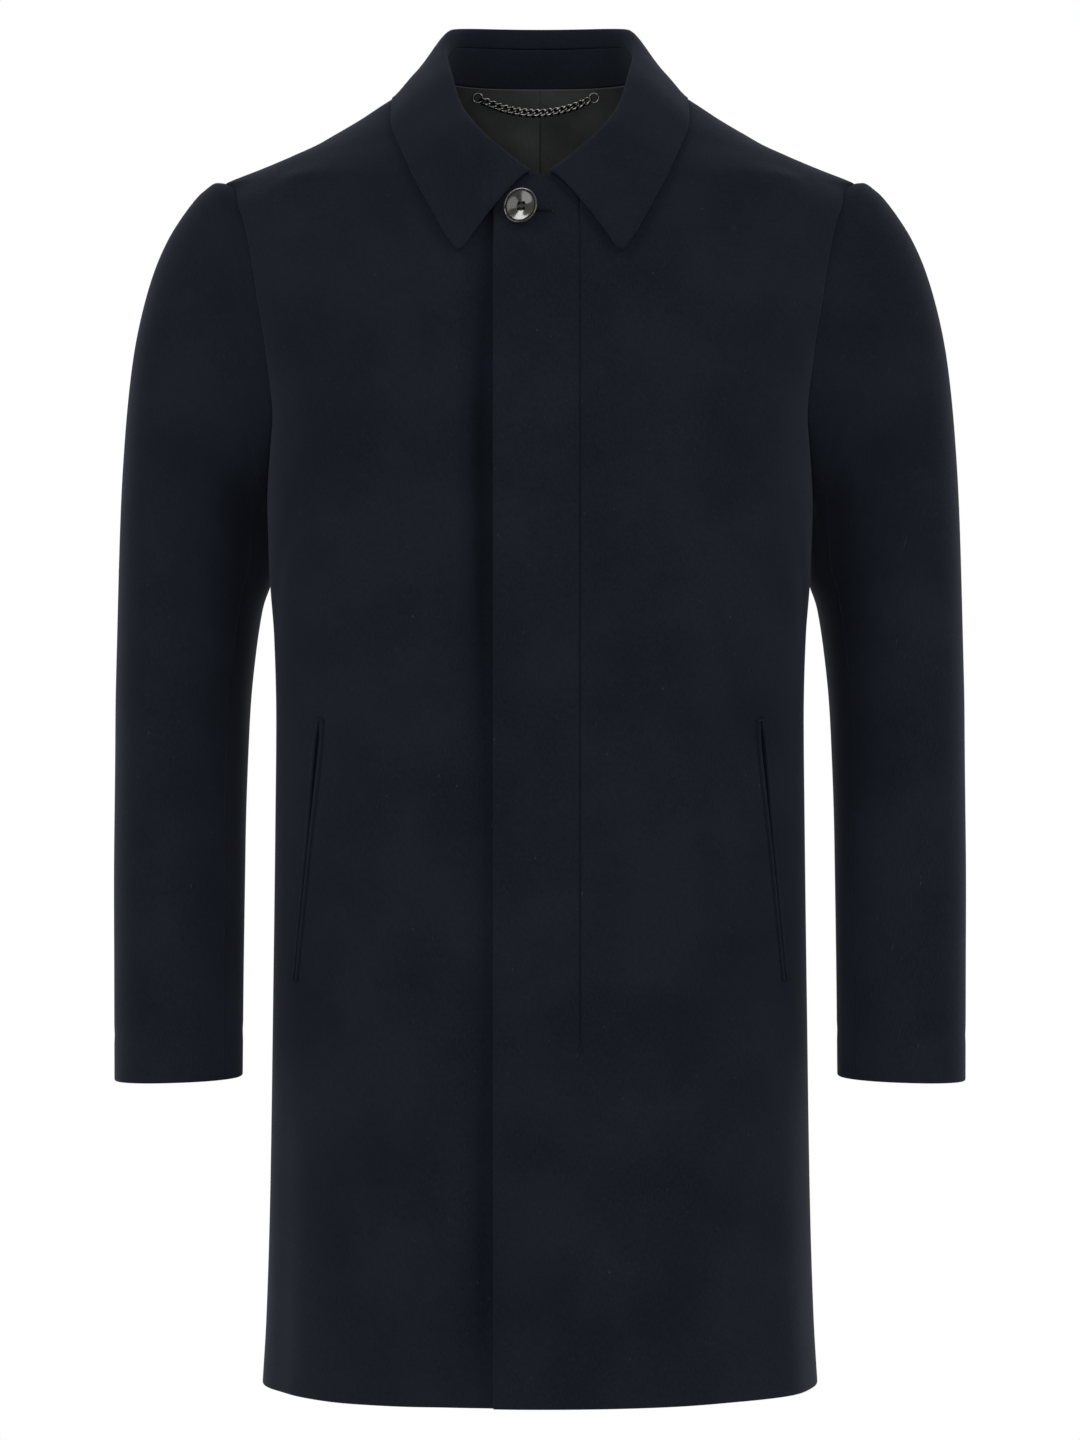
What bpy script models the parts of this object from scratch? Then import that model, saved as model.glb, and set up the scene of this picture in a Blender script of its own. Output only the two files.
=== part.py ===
"""Single-breasted tailored wool coat with a hidden fly, hollow as it hangs on a wearer.

Metres, +Z up, front towards -Y, the wearer's left at +X. The origin is the middle of the neck
opening at the height of the nape, where the shoulders carry the coat. Every piece of cloth is a
closed wall between two faces, worked out from the section tables below.
"""

import math

import bpy
import numpy as np

# Cloth walls and the gap left at every seam
CLOTH = 0.0025
COLLAR_CLOTH = 0.0022
LINING_CLOTH = 0.0010
JET_CLOTH = 0.0018
SEAM_GAP = 0.0004

# Heights from the nape
HEM = -0.951
PIT = -0.314
SHOULDER_POINT = -0.0765

# Neck opening, half its width and the drop of its front
NECK_HALF = 0.078
NECK_DROP = 0.083
NECK_SQUARE = 2.0

# Front edges: where each front ends across the centre, and how far the lower one lies behind
LEFT_EDGE = -0.033
RIGHT_EDGE = 0.045
LAP_DEPTH = 0.0036
LAP_START = -0.088
LAP_END = -0.043

# Armhole: how far its front and back bow in from the side line, in degrees round the body
SCOOP_FRONT = 24.0
SCOOP_BACK = 21.0
SCOOP_SKEW = 0.4
SLEEVE_LIFT = 0.0004
SLEEVE_OUTSET = 0.0004
ARMHOLE_BLEND = 3.0

# Two-piece sleeve: the turns of its front and back seams, from 0 at the outside of the arm
FRONT_SEAM = 138.0
BACK_SEAM = 246.0

# Slanted pockets on the left front, mirrored on the right one
POCKET_TOP = (0.156, -0.470)
POCKET_FOOT = (0.1742, -0.655)
JET_WIDTH = 0.0033
POCKET_ROWS = 12
MOUTH_GAP = 0.0006
MOUTH_GAPE = 0.0010

# Shares of the mouth's length at which it begins to gape, gapes in full and is shut again
MOUTH_OPENS = 0.08
MOUTH_FULL = 0.15
MOUTH_SHUT = 0.55

# Neck button and its place on the left front
BUTTON_RADIUS = 0.0126
BUTTON_HEIGHT = 0.0042
BUTTON_X = -0.0125
BUTTON_Z = -0.1100
BUTTON_TURN = 22.0
BUTTON_PITCH = 8.0
BUTTON_STAND_OFF = 0.95
BUTTON_SIDES = 36
BUTTON_SHARP = 40.0
HOLE_RADIUS = 0.0012
HOLE_ACROSS = 0.0036
HOLE_UP = 0.0041
HOLE_SIDES = 12

# Hanger chain, between two rings inside the back neck
CHAIN_X = -0.0030
CHAIN_HALF_SPAN = 0.0430
CHAIN_END_Z = -0.0094
CHAIN_SAG = 0.0112
CHAIN_Y = 0.0585
CHAIN_LINKS = 17
CHAIN_WIDTH = 0.0070
CHAIN_THICK = 0.0024
CHAIN_SWELL = 0.16
CHAIN_SIDES = 6
STEPS_PER_LINK = 4
RING_RADIUS = 0.0035
RING_WIRE = 0.0006
RING_STEPS = 20
WIRE_SIDES = 6

# Lining of the backs, the only lining that shows: its sides are angles round the body
LINING_INSET = CLOTH + 0.0022
LINING_FOOT = -0.925
LINING_HEAD = -0.0030
LINING_ROWS = 20
LINING_COLUMNS = 9
LINING_SIDE = 97.0
LINING_SIDE_HEAD = 128.0
LINING_NARROWING = -0.360
LINING_NARROWED = -0.180

# Steps at which the slope of the body and of the sleeve is taken, along and around
BODY_STEP = (0.0015, 0.4)
SLEEVE_STEP = (0.05, 1.0)
SHARP_EDGE = 50.0

# Faces per panel
ROWS_BELOW_ARM = 14
ROWS_AT_ARM = 16
FRONT_COLUMNS = 13
BACK_COLUMNS = 10
SLEEVE_ROWS = 20
TOP_SLEEVE_COLUMNS = 15
UNDER_SLEEVE_COLUMNS = 7
COLLAR_STATIONS = 40
COLLAR_ROWS = 9


def table(names, *rows):
    """A table of sections, kept as named columns."""
    return dict(zip(names.split(), np.array(rows, dtype=float).T))


# Sections of the body, one row for each height
BODY = table(
    "height half_width front back square",
    (-0.951, 0.2017, 0.1450, 0.1500, 2.15),
    (-0.905, 0.1990, 0.1435, 0.1470, 2.15),
    (-0.820, 0.1963, 0.1410, 0.1400, 2.15),
    (-0.670, 0.1940, 0.1360, 0.1260, 2.20),
    (-0.550, 0.1925, 0.1310, 0.1140, 2.20),
    (-0.470, 0.1918, 0.1290, 0.1080, 2.20),
    (-0.410, 0.1933, 0.1305, 0.1100, 2.25),
    (-0.370, 0.1962, 0.1325, 0.1145, 2.30),
    (-0.314, 0.1982, 0.1350, 0.1215, 2.35),
    (-0.260, 0.1992, 0.1348, 0.1265, 2.40),
    (-0.205, 0.2112, 0.1305, 0.1275, 2.40),
    (-0.160, 0.2225, 0.1215, 0.1250, 2.40),
    (-0.117, 0.2272, 0.1075, 0.1185, 2.35),
    (-0.094, 0.2270, 0.0975, 0.1130, 2.30),
    (-0.0765, 0.2213, 0.0890, 0.1085, 2.25),
    (-0.0700, 0.2030, 0.0840, 0.1060, 2.25),
    (-0.0584, 0.1725, 0.0765, 0.1020, 2.20),
    (-0.0456, 0.1507, 0.0670, 0.0978, 2.15),
    (-0.0340, 0.1314, 0.0560, 0.0935, 2.10),
    (-0.0223, 0.1139, 0.0440, 0.0888, 2.05),
    (-0.0135, 0.1000, 0.0360, 0.0848, 2.00),
    (0.0000, 0.0780, 0.0280, 0.0780, 2.00),
)

# Soft folds in the hang of the body: ridges are positive, angles run from the centre front
BODY_FOLDS = table(
    "angle spread top foot depth",
    (-17.0, 7.0, -0.620, -0.951, -0.0040),
    (-42.0, 10.0, -0.560, -0.951, 0.0030),
    (41.0, 9.0, -0.600, -0.951, -0.0020),
    (62.0, 9.0, -0.640, -0.951, 0.0025),
    (-68.0, 8.0, -0.600, -0.951, -0.0025),
    (122.0, 10.0, -0.500, -0.951, -0.0035),
    (150.0, 10.0, -0.520, -0.951, 0.0035),
    (-118.0, 9.0, -0.540, -0.951, -0.0030),
    (-147.0, 11.0, -0.500, -0.951, 0.0040),
)

# Sections of the left sleeve from the armhole to the cuff: the outer and inner points of each
# ring, and how far it reaches to the front and to the back of the line between them
SLEEVE = table(
    "outer_x outer_y outer_z inner_x inner_y inner_z front back",
    (0.2213, 0.000, -0.0765, 0.1982, 0.000, -0.3140, 0.060, 0.052),
    (0.2300, 0.001, -0.0772, 0.1992, 0.006, -0.3175, 0.062, 0.057),
    (0.2457, 0.002, -0.0863, 0.1992, 0.013, -0.3220, 0.065, 0.063),
    (0.2705, 0.004, -0.1205, 0.1985, 0.022, -0.3290, 0.069, 0.069),
    (0.2850, 0.005, -0.1570, 0.1978, 0.030, -0.3380, 0.071, 0.072),
    (0.2962, 0.006, -0.2079, 0.1972, 0.036, -0.3500, 0.072, 0.074),
    (0.3022, 0.006, -0.2662, 0.1975, 0.037, -0.3660, 0.072, 0.075),
    (0.3055, 0.006, -0.3244, 0.2038, 0.032, -0.3880, 0.071, 0.075),
    (0.3074, 0.004, -0.4000, 0.2086, 0.020, -0.4250, 0.069, 0.072),
    (0.3085, 0.000, -0.4700, 0.2122, 0.008, -0.4780, 0.066, 0.069),
    (0.3084, -0.012, -0.5600, 0.2140, -0.008, -0.5600, 0.061, 0.064),
    (0.3070, -0.028, -0.6500, 0.2142, -0.026, -0.6480, 0.056, 0.058),
    (0.3056, -0.042, -0.7285, 0.2139, -0.042, -0.7256, 0.051, 0.053),
)
SLEEVE_SQUARE = 2.25

# Soft bends at the elbow: where each lies down the rows and round the sleeve
SLEEVE_FOLDS = table(
    "row turn row_spread turn_spread depth",
    (8.6, 125.0, 0.55, 40.0, -0.0030),
    (9.6, 110.0, 0.50, 45.0, -0.0025),
    (9.1, 255.0, 0.60, 35.0, 0.0025),
    (7.0, 75.0, 0.70, 40.0, -0.0020),
)

# Half of the collar from the centre back to its front end: where the neck seam lies round the
# neck, 180 at the back, 90 at the shoulder and 0 in front; the fold line; the height of the
# stand; the outer edge of the fall by its place on the body and how far it stands off; how far
# the roll reaches out from the fold line; and how far the fall hollows towards the shoulder
COLLAR = table(
    "neck_turn fold_x fold_y fold_z stand edge_x edge_z lift reach hollow",
    (180.0, 0.0000, 0.0730, 0.0455, 0.0300, 0.0000, -0.0140, 0.0015, 0.0120, 0.0000),
    (154.0, 0.0340, 0.0675, 0.0450, 0.0296, 0.0480, -0.0150, 0.0015, 0.0130, 0.0000),
    (125.0, 0.0595, 0.0430, 0.0410, 0.0270, 0.0870, -0.0170, 0.0015, 0.0175, 0.0010),
    (98.0, 0.0650, 0.0110, 0.0215, 0.0090, 0.1076, -0.0183, 0.0018, 0.0140, 0.0030),
    (79.0, 0.0600, -0.0250, -0.0010, 0.0046, 0.1062, -0.0430, 0.0018, 0.0130, 0.0000),
    (60.0, 0.0525, -0.0560, -0.0275, 0.0058, 0.1000, -0.0625, 0.0018, 0.0130, 0.0000),
    (42.0, 0.0405, -0.0780, -0.0465, 0.0070, 0.0905, -0.0840, 0.0024, 0.0120, 0.0000),
    (23.0, 0.0245, -0.0890, -0.0625, 0.0060, 0.0768, -0.1100, 0.0032, 0.0120, 0.0000),
    (14.0, 0.0145, -0.0925, -0.0715, 0.0040, 0.0652, -0.1306, 0.0038, 0.0120, 0.0000),
    (9.0, 0.0085, -0.0940, -0.0765, 0.0025, 0.0574, -0.1402, 0.0042, 0.0115, 0.0000),
    (6.0, 0.0050, -0.0948, -0.0795, 0.0020, 0.0530, -0.1368, 0.0042, 0.0100, 0.0000),
)
COLLAR_SHOULDER = 3
ROLL_RISE = 1.70
ROLL_RISE_LEAST = 0.0090
COLLAR_SEAM = 0.0010
HOLLOW_AT = 0.8
DOWN = np.array([0.0, 0.0, -1.0])
STAND_SHORT = 6
NECK_SEAM = 0.0012

# Rounded section of a pocket jet, as shares of its width from the mouth and of its cloth
JET_CROWN = table(
    "across height",
    (0.00, 0.55),
    (0.35, 1.00),
    (0.70, 0.90),
    (1.00, 0.35),
)

# Turned profile of the button from the middle of its back to the middle of its dish, as shares
# of its radius and of its height
BUTTON_PROFILE = table(
    "radius height",
    (0.00, 0.00),
    (0.62, 0.00),
    (0.92, 0.30),
    (1.00, 0.62),
    (0.99, 0.88),
    (0.94, 1.00),
    (0.87, 0.97),
    (0.82, 0.80),
    (0.55, 0.66),
    (0.00, 0.58),
)

# Colour, roughness and metallic value of each material
FINISHES = {
    "navy_wool": ((0.011, 0.013, 0.020), 0.90, 0.0),
    "lining_satin": ((0.016, 0.018, 0.021), 0.40, 0.0),
    "button_horn": ((0.030, 0.030, 0.028), 0.18, 0.0),
    "gunmetal": ((0.110, 0.105, 0.100), 0.25, 1.0),
}


def smooth(knots, values, at):
    """Monotone cubic through a table's column, so that a section never overshoots its rows."""
    gaps = np.diff(knots)
    slopes = np.diff(values) / gaps
    tangents = np.zeros_like(values)
    tangents[0] = slopes[0]
    tangents[-1] = slopes[-1]
    for i in range(1, len(values) - 1):
        before, after = slopes[i - 1], slopes[i]
        if before * after > 0:
            early = 2 * gaps[i] + gaps[i - 1]
            late = gaps[i] + 2 * gaps[i - 1]
            tangents[i] = (early + late) / (early / before + late / after)
    at = np.asarray(at, dtype=float)
    i = np.clip(np.searchsorted(knots, at) - 1, 0, len(gaps) - 1)
    t = (at - knots[i]) / gaps[i]
    rise = values[i + 1] - values[i]
    start = tangents[i] * gaps[i]
    end = tangents[i + 1] * gaps[i]
    return values[i] + t * (start + t * (3 * rise - 2 * start - end + t * (start + end - 2 * rise)))


def ease(low, high, at):
    """Smooth step from 0 at low to 1 at high."""
    t = np.clip((np.asarray(at, dtype=float) - low) / (high - low), 0.0, 1.0)
    return t * t * (3 - 2 * t)


def unit(vectors):
    return vectors / np.linalg.norm(vectors, axis=-1, keepdims=True)


def signed_power(value, power):
    return np.sign(value) * np.abs(value) ** power


# The body's outer face


def body_column(name, z):
    return smooth(BODY["height"], BODY[name], z)


def body_folds(z, angle):
    """How far the hang of the cloth stands out of its plain section."""
    total = np.zeros(np.broadcast(z, angle).shape)
    for fold in zip(*BODY_FOLDS.values()):
        middle, spread, top, foot, depth = fold
        away = (np.asarray(angle) - middle) / spread
        total = total + depth * np.exp(-away * away) * ease(top, foot, z)
    return total


def body_point(z, angle):
    """A point of the outer face: angle 0 is the centre front, 90 the left side, 180 the back."""
    z = np.asarray(z, dtype=float)
    turn = np.radians(angle)
    power = 2.0 / body_column("square", z)
    across = signed_power(np.sin(turn), power)
    along = signed_power(np.cos(turn), power)
    depth = np.where(along > 0, body_column("front", z), body_column("back", z))
    x = body_column("half_width", z) * across
    y = -depth * along
    out = body_folds(z, angle) / np.hypot(x, y)
    return np.stack([x * (1 + out), y * (1 + out), np.broadcast_to(z, x.shape)], axis=-1)


def surface_normal(point, row, turn, row_step, turn_step):
    """Outward direction of a surface whose points are worked out from a row and a turn."""
    around = point(row, turn + turn_step) - point(row, turn - turn_step)
    lengthwise = point(row + row_step, turn) - point(row - row_step, turn)
    return unit(np.cross(around, lengthwise))


def body_normal(z, angle):
    return surface_normal(body_point, z, angle, *BODY_STEP)


def front_angle(x, z):
    """The angle round the body of a point of the front at a given width."""
    share = np.clip(np.abs(x) / body_column("half_width", z), 0.0, 1.0)
    return np.sign(x) * np.degrees(np.arcsin(share ** (body_column("square", z) / 2)))


# Boundaries of the panels, each as heights and angles


def armhole(turn):
    """The armhole loop: turn 0 at the shoulder, 90 at the front, 180 under the arm."""
    turn = np.radians(turn)
    middle = (SHOULDER_POINT + PIT) / 2
    half = (SHOULDER_POINT - PIT) / 2
    scoop = np.where(np.sin(turn) > 0, SCOOP_FRONT, SCOOP_BACK)
    bow = scoop * np.sin(turn) * (1 + SCOOP_SKEW * np.cos(turn))
    return middle + half * np.cos(turn), 90.0 - bow


def front_neckline(turn):
    """The front neckline: turn 90 at the left shoulder seam, 0 at the centre front."""
    turn = np.radians(turn)
    power = 2.0 / NECK_SQUARE
    z = -NECK_DROP * np.abs(np.cos(turn)) ** power
    return z, front_angle(NECK_HALF * signed_power(np.sin(turn), power), z)


def neckline_turn(x):
    """The turn at which the front neckline has a given width."""
    return math.degrees(math.asin(signed_power(x / NECK_HALF, NECK_SQUARE / 2)))


def below_arm():
    return np.linspace(HEM, PIT, ROWS_BELOW_ARM + 1)[:-1]


def panel(near, far, columns):
    """A grid of heights and angles between two boundaries, a row from each point of one."""
    share = np.linspace(0.0, 1.0, columns + 1)[None, :]
    heights = near[0][:, None] * (1 - share) + far[0][:, None] * share
    angles = near[1][:, None] * (1 - share) + far[1][:, None] * share
    return heights, angles


def front_panel(edge_x):
    """Left front in heights and angles: from its front edge and neckline to side and armhole."""
    low = below_arm()
    rows = np.linspace(0.0, 1.0, ROWS_AT_ARM + 1)
    first_turn = neckline_turn(edge_x)
    edge_top, _ = front_neckline(first_turn)
    half = ROWS_AT_ARM // 2
    edge_heights = np.concatenate([low, np.linspace(PIT, edge_top, half + 1)])
    edge_angles = front_angle(np.full_like(edge_heights, edge_x), edge_heights)
    neck_heights, neck_angles = front_neckline(np.linspace(first_turn, 90.0, half + 1)[1:])
    arm_heights, arm_angles = armhole(180.0 * (1 - rows))
    near = np.concatenate([edge_heights, neck_heights]), np.concatenate([edge_angles, neck_angles])
    far = np.concatenate([low, arm_heights]), np.concatenate([np.full_like(low, 90.0), arm_angles])
    return panel(near, far, FRONT_COLUMNS)


def back_panel():
    """Left back in heights and angles: from side and armhole to the centre seam and neckline."""
    low = below_arm()
    rows = np.linspace(0.0, 1.0, ROWS_AT_ARM + 1)
    half = ROWS_AT_ARM // 2
    centre_heights = np.concatenate([low, np.linspace(PIT, 0.0, half + 1)])
    neck_angles = np.linspace(180.0, 90.0, half + 1)[1:]
    centre = (
        np.concatenate([centre_heights, np.zeros(half)]),
        np.concatenate([np.full_like(centre_heights, 180.0), neck_angles]),
    )
    arm_heights, arm_angles = armhole(180.0 + 180.0 * rows)
    side = np.concatenate([low, arm_heights]), np.concatenate([np.full_like(low, 90.0), arm_angles])
    return panel(side, centre, BACK_COLUMNS)


# Walls of cloth


def face_normals(grid):
    return unit(np.cross(np.gradient(grid, axis=1), np.gradient(grid, axis=0)))


def trim(grid):
    """Draw the four borders of a panel back by half a seam gap."""
    for axis in (0, 1):
        lines = np.moveaxis(grid, axis, 0)
        first = lines[0] + unit(lines[1] - lines[0]) * SEAM_GAP / 2
        last = lines[-1] + unit(lines[-2] - lines[-1]) * SEAM_GAP / 2
        lines[0], lines[-1] = first, last
    return grid


def mirror(grid):
    """The same panel on the other side, with its columns turned round so it still faces out."""
    return grid[:, ::-1] * np.array([-1.0, 1.0, 1.0])


def material(name):
    existing = bpy.data.materials.get(name)
    if existing:
        return existing
    colour, roughness, metallic = FINISHES[name]
    made = bpy.data.materials.new(name)
    made.use_nodes = True
    shader = made.node_tree.nodes["Principled BSDF"]
    shader.inputs["Base Color"].default_value = (*colour, 1.0)
    shader.inputs["Roughness"].default_value = roughness
    shader.inputs["Metallic"].default_value = metallic
    return made


def add_object(name, points, faces, finish, sharp=SHARP_EDGE):
    mesh = bpy.data.meshes.new(name)
    mesh.from_pydata([tuple(point) for point in points], [], faces)
    mesh.shade_smooth()
    mesh.set_sharp_from_angle(angle=math.radians(sharp))
    mesh.materials.append(material(finish))
    made = bpy.data.objects.new(name, mesh)
    bpy.context.scene.collection.objects.link(made)
    return made


def split_quad(points, a, b, c, d):
    """Two triangles on the shorter diagonal, which keeps slanted panels smooth."""
    if np.linalg.norm(points[a] - points[c]) <= np.linalg.norm(points[b] - points[d]):
        return [a, b, c], [a, c, d]
    return [a, b, d], [b, c, d]


def wall(name, outer, inner, finish):
    """A closed wall between an outer and an inner grid of the same size."""
    rows, columns = outer.shape[:2]
    count = rows * columns
    faces = []
    flat = outer.reshape(-1, 3)
    for i in range(rows - 1):
        for j in range(columns - 1):
            corner = i * columns + j
            for triangle in split_quad(flat, corner, corner + 1, corner + columns + 1, corner + columns):
                faces.append(triangle)
                faces.append([count + k for k in reversed(triangle)])
    border = list(range(columns))
    border += [i * columns + columns - 1 for i in range(1, rows)]
    border += [(rows - 1) * columns + j for j in range(columns - 2, -1, -1)]
    border += [i * columns for i in range(rows - 2, 0, -1)]
    for here, following in zip(border, border[1:] + border[:1]):
        faces.append([following, here, count + here, count + following])
    points = np.concatenate([outer.reshape(-1, 3), inner.reshape(-1, 3)])
    return add_object(name, points, faces, finish)


def cloth_wall(name, outer, thickness, finish):
    return wall(name, outer, outer - face_normals(outer) * thickness, finish)


def tube(name, sections, finish, closed):
    """A solid through a stack of rings; a closed one runs on into its first ring."""
    count, sides = sections.shape[:2]
    faces = []
    for i in range(count if closed else count - 1):
        after = (i + 1) % count
        for j in range(sides):
            side = (j + 1) % sides
            faces.append([i * sides + j, i * sides + side, after * sides + side, after * sides + j])
    if not closed:
        faces.append(list(range(sides))[::-1])
        faces.append([(count - 1) * sides + j for j in range(sides)])
    return add_object(name, sections.reshape(-1, 3), faces, finish)


# Fronts and backs


def lap(x):
    """How far the lower front lies behind the plain face as it runs under the lap."""
    return LAP_DEPTH * ease(LAP_START, LAP_END, x)


def body_wall(name, heights, angles, inset, thickness, finish):
    """A wall that follows the body's face, drawn in from it by an inset."""
    face = body_point(heights, angles)
    normal = body_normal(heights, angles)
    inset = np.broadcast_to(inset, heights.shape)[..., None]
    wall(name, trim(face - normal * inset), trim(face - normal * (inset + thickness)), finish)


def build_fronts():
    heights, angles = front_panel(LEFT_EDGE)
    body_wall("front_left", heights, angles, 0.0, CLOTH, "navy_wool")
    heights, angles = front_panel(-RIGHT_EDGE)
    heights, angles = heights[:, ::-1], -angles[:, ::-1]
    behind = lap(body_point(heights, angles)[..., 0])
    body_wall("front_right", heights, angles, behind, CLOTH, "navy_wool")


def build_backs():
    heights, angles = back_panel()
    body_wall("back_left", heights, angles, 0.0, CLOTH, "navy_wool")
    body_wall("back_right", heights[:, ::-1], -angles[:, ::-1], 0.0, CLOTH, "navy_wool")


# Lining


def build_lining():
    """Two halves from the centre seam to the sides, drawn in behind the armholes."""
    heights = np.linspace(LINING_FOOT, LINING_HEAD, LINING_ROWS + 1)
    narrowing = ease(LINING_NARROWING, LINING_NARROWED, heights)
    side = LINING_SIDE + (LINING_SIDE_HEAD - LINING_SIDE) * narrowing
    centre = np.full_like(heights, 180.0)
    levels, angles = panel((heights, side), (heights, centre), LINING_COLUMNS)
    body_wall("lining_left", levels, angles, LINING_INSET, LINING_CLOTH, "lining_satin")
    levels, angles = levels[:, ::-1], -angles[:, ::-1]
    body_wall("lining_right", levels, angles, LINING_INSET, LINING_CLOTH, "lining_satin")


# Sleeves


def sleeve_ring(rows, turns):
    """Points of the left sleeve's rings: turn 0 on its outside, 90 in front, 180 by the body."""
    places = np.arange(len(SLEEVE["front"]), dtype=float)

    def column(name):
        return smooth(places, SLEEVE[name], rows)

    outer = np.stack([column("outer_x"), column("outer_y"), column("outer_z")], axis=-1)
    inner = np.stack([column("inner_x"), column("inner_y"), column("inner_z")], axis=-1)
    turns = np.radians(turns)
    power = 2.0 / SLEEVE_SQUARE
    lengthwise = signed_power(np.cos(turns), power)[..., None] * (outer - inner) / 2
    depth = np.where(np.sin(turns) > 0, column("front"), column("back"))
    depthwise = -depth * signed_power(np.sin(turns), power)
    return (outer + inner) / 2 + lengthwise + depthwise[..., None] * np.array([0.0, 1.0, 0.0])


def sleeve_folds(rows, turns):
    total = np.zeros_like(turns)
    for fold in zip(*SLEEVE_FOLDS.values()):
        at_row, at_turn, row_spread, turn_spread, depth = fold
        away = ((rows - at_row) / row_spread) ** 2 + ((turns - at_turn) / turn_spread) ** 2
        total = total + depth * np.exp(-away)
    return total


def armhole_start(turns):
    """Where the sleeve's cloth begins, just clear of the body's armhole edge."""
    heights, angles = armhole(turns)
    edge = body_point(heights, angles) + body_normal(heights, angles) * SLEEVE_LIFT
    towards = sleeve_ring(np.ones_like(turns), turns) - edge
    return edge + unit(towards) * SLEEVE_OUTSET


def sleeve_point(rows, turns):
    """A point of the left sleeve, which starts on the armhole and turns into its own rings."""
    ring = sleeve_ring(rows, turns)
    spoke = ring - (sleeve_ring(rows, turns * 0.0) + sleeve_ring(rows, turns * 0.0 + 180.0)) / 2
    first = sleeve_ring(np.zeros_like(rows), turns)
    blend = np.clip(1 - rows / ARMHOLE_BLEND, 0.0, None) ** 2
    folds = sleeve_folds(rows, turns % 360.0)
    return ring + folds[..., None] * unit(spoke) + blend[..., None] * (armhole_start(turns) - first)


def sleeve_normal(rows, turns):
    return surface_normal(sleeve_point, rows, turns, *SLEEVE_STEP)


def build_sleeves():
    panels = {
        "top": np.linspace(BACK_SEAM - 360.0, FRONT_SEAM, TOP_SLEEVE_COLUMNS + 1),
        "under": np.linspace(FRONT_SEAM, BACK_SEAM, UNDER_SLEEVE_COLUMNS + 1),
    }
    last_row = len(SLEEVE["front"]) - 1.0
    for name, seams in panels.items():
        rows, turns = np.meshgrid(np.linspace(0.0, last_row, SLEEVE_ROWS + 1), seams, indexing="ij")
        outer = sleeve_point(rows, turns)
        inner = trim(outer - sleeve_normal(rows, turns) * CLOTH)
        outer = trim(outer)
        wall("sleeve_left_" + name, outer, inner, "navy_wool")
        wall("sleeve_right_" + name, mirror(outer), mirror(inner), "navy_wool")


# Collar


def neck_seam(turn, side):
    """The inside of the neckline, from its turn round the left half of the neck."""
    front_z, front_turn = front_neckline(np.minimum(turn, 90.0))
    behind = turn > 90.0
    heights = np.where(behind, 0.0, front_z)
    angles = side * np.where(behind, turn, front_turn)
    on_body = body_point(heights, angles)
    inside = on_body - unit(on_body * np.array([1.0, 1.0, 0.0])) * CLOTH
    return inside + np.array([0.0, 0.0, NECK_SEAM])


def collar_lines(stations):
    """Neck seam, top of the stand, fold, outer edge, reach and hollow at stations from -1 to 1."""
    count = len(COLLAR["stand"])
    places = np.linspace(-1.0, 1.0, 2 * count - 1)

    def column(name, sign=1.0):
        half = COLLAR[name]
        return smooth(places, np.concatenate([sign * half[:0:-1], half]), stations)

    side = np.where(stations < 0, -1.0, 1.0)
    neck = neck_seam(column("neck_turn"), side)
    fold = np.stack([column("fold_x", -1.0), column("fold_y"), column("fold_z")], axis=-1)
    stand = neck + unit(fold - neck) * column("stand")[:, None]
    edge_height = column("edge_z")
    edge_angle = front_angle(np.abs(column("edge_x", -1.0)), edge_height)
    behind = np.abs(stations) < COLLAR_SHOULDER / (count - 1)
    edge_angle = side * np.where(behind, 180.0 - edge_angle, edge_angle)
    lift = (COLLAR_CLOTH + column("lift"))[:, None]
    edge = body_point(edge_height, edge_angle) + body_normal(edge_height, edge_angle) * lift
    return neck, stand, fold, edge, column("reach")[:, None], column("hollow")[:, None]


def build_collar():
    stations = np.linspace(-1.0, 1.0, COLLAR_STATIONS + 1)
    neck, stand, fold, edge, reach, hollow = collar_lines(stations)
    rows = [neck * (1 - share) + stand * share for share in (0.0, 0.5, 1.0)]
    upright = np.array(rows)[:, STAND_SHORT:-STAND_SHORT]
    cloth_wall("collar_stand", trim(upright), COLLAR_CLOTH, "navy_wool")
    rise = unit(fold - neck)
    height = np.linalg.norm(fold - stand, axis=-1, keepdims=True)
    outward = unit((edge - fold) * np.array([1.0, 1.0, 0.0]))
    start = stand + rise * COLLAR_SEAM
    first_handle = stand + rise * np.maximum(ROLL_RISE * height, ROLL_RISE_LEAST)
    second_handle = fold + outward * reach
    fall = unit(edge - fold)
    sink = unit(DOWN - fall * fall[:, 2:] * DOWN[2])
    grid = []
    for t in np.linspace(0.0, 1.0, COLLAR_ROWS + 1):
        s = 1 - t
        rolled = 3 * s * s * t * first_handle + 3 * s * t * t * second_handle
        sunk = hollow * sink * (t / HOLLOW_AT) ** 4 * s / (1 - HOLLOW_AT)
        grid.append(s ** 3 * start + rolled + t ** 3 * edge + sunk)
    cloth_wall("collar_fall", np.array(grid), COLLAR_CLOTH, "navy_wool")


# Pockets


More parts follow.
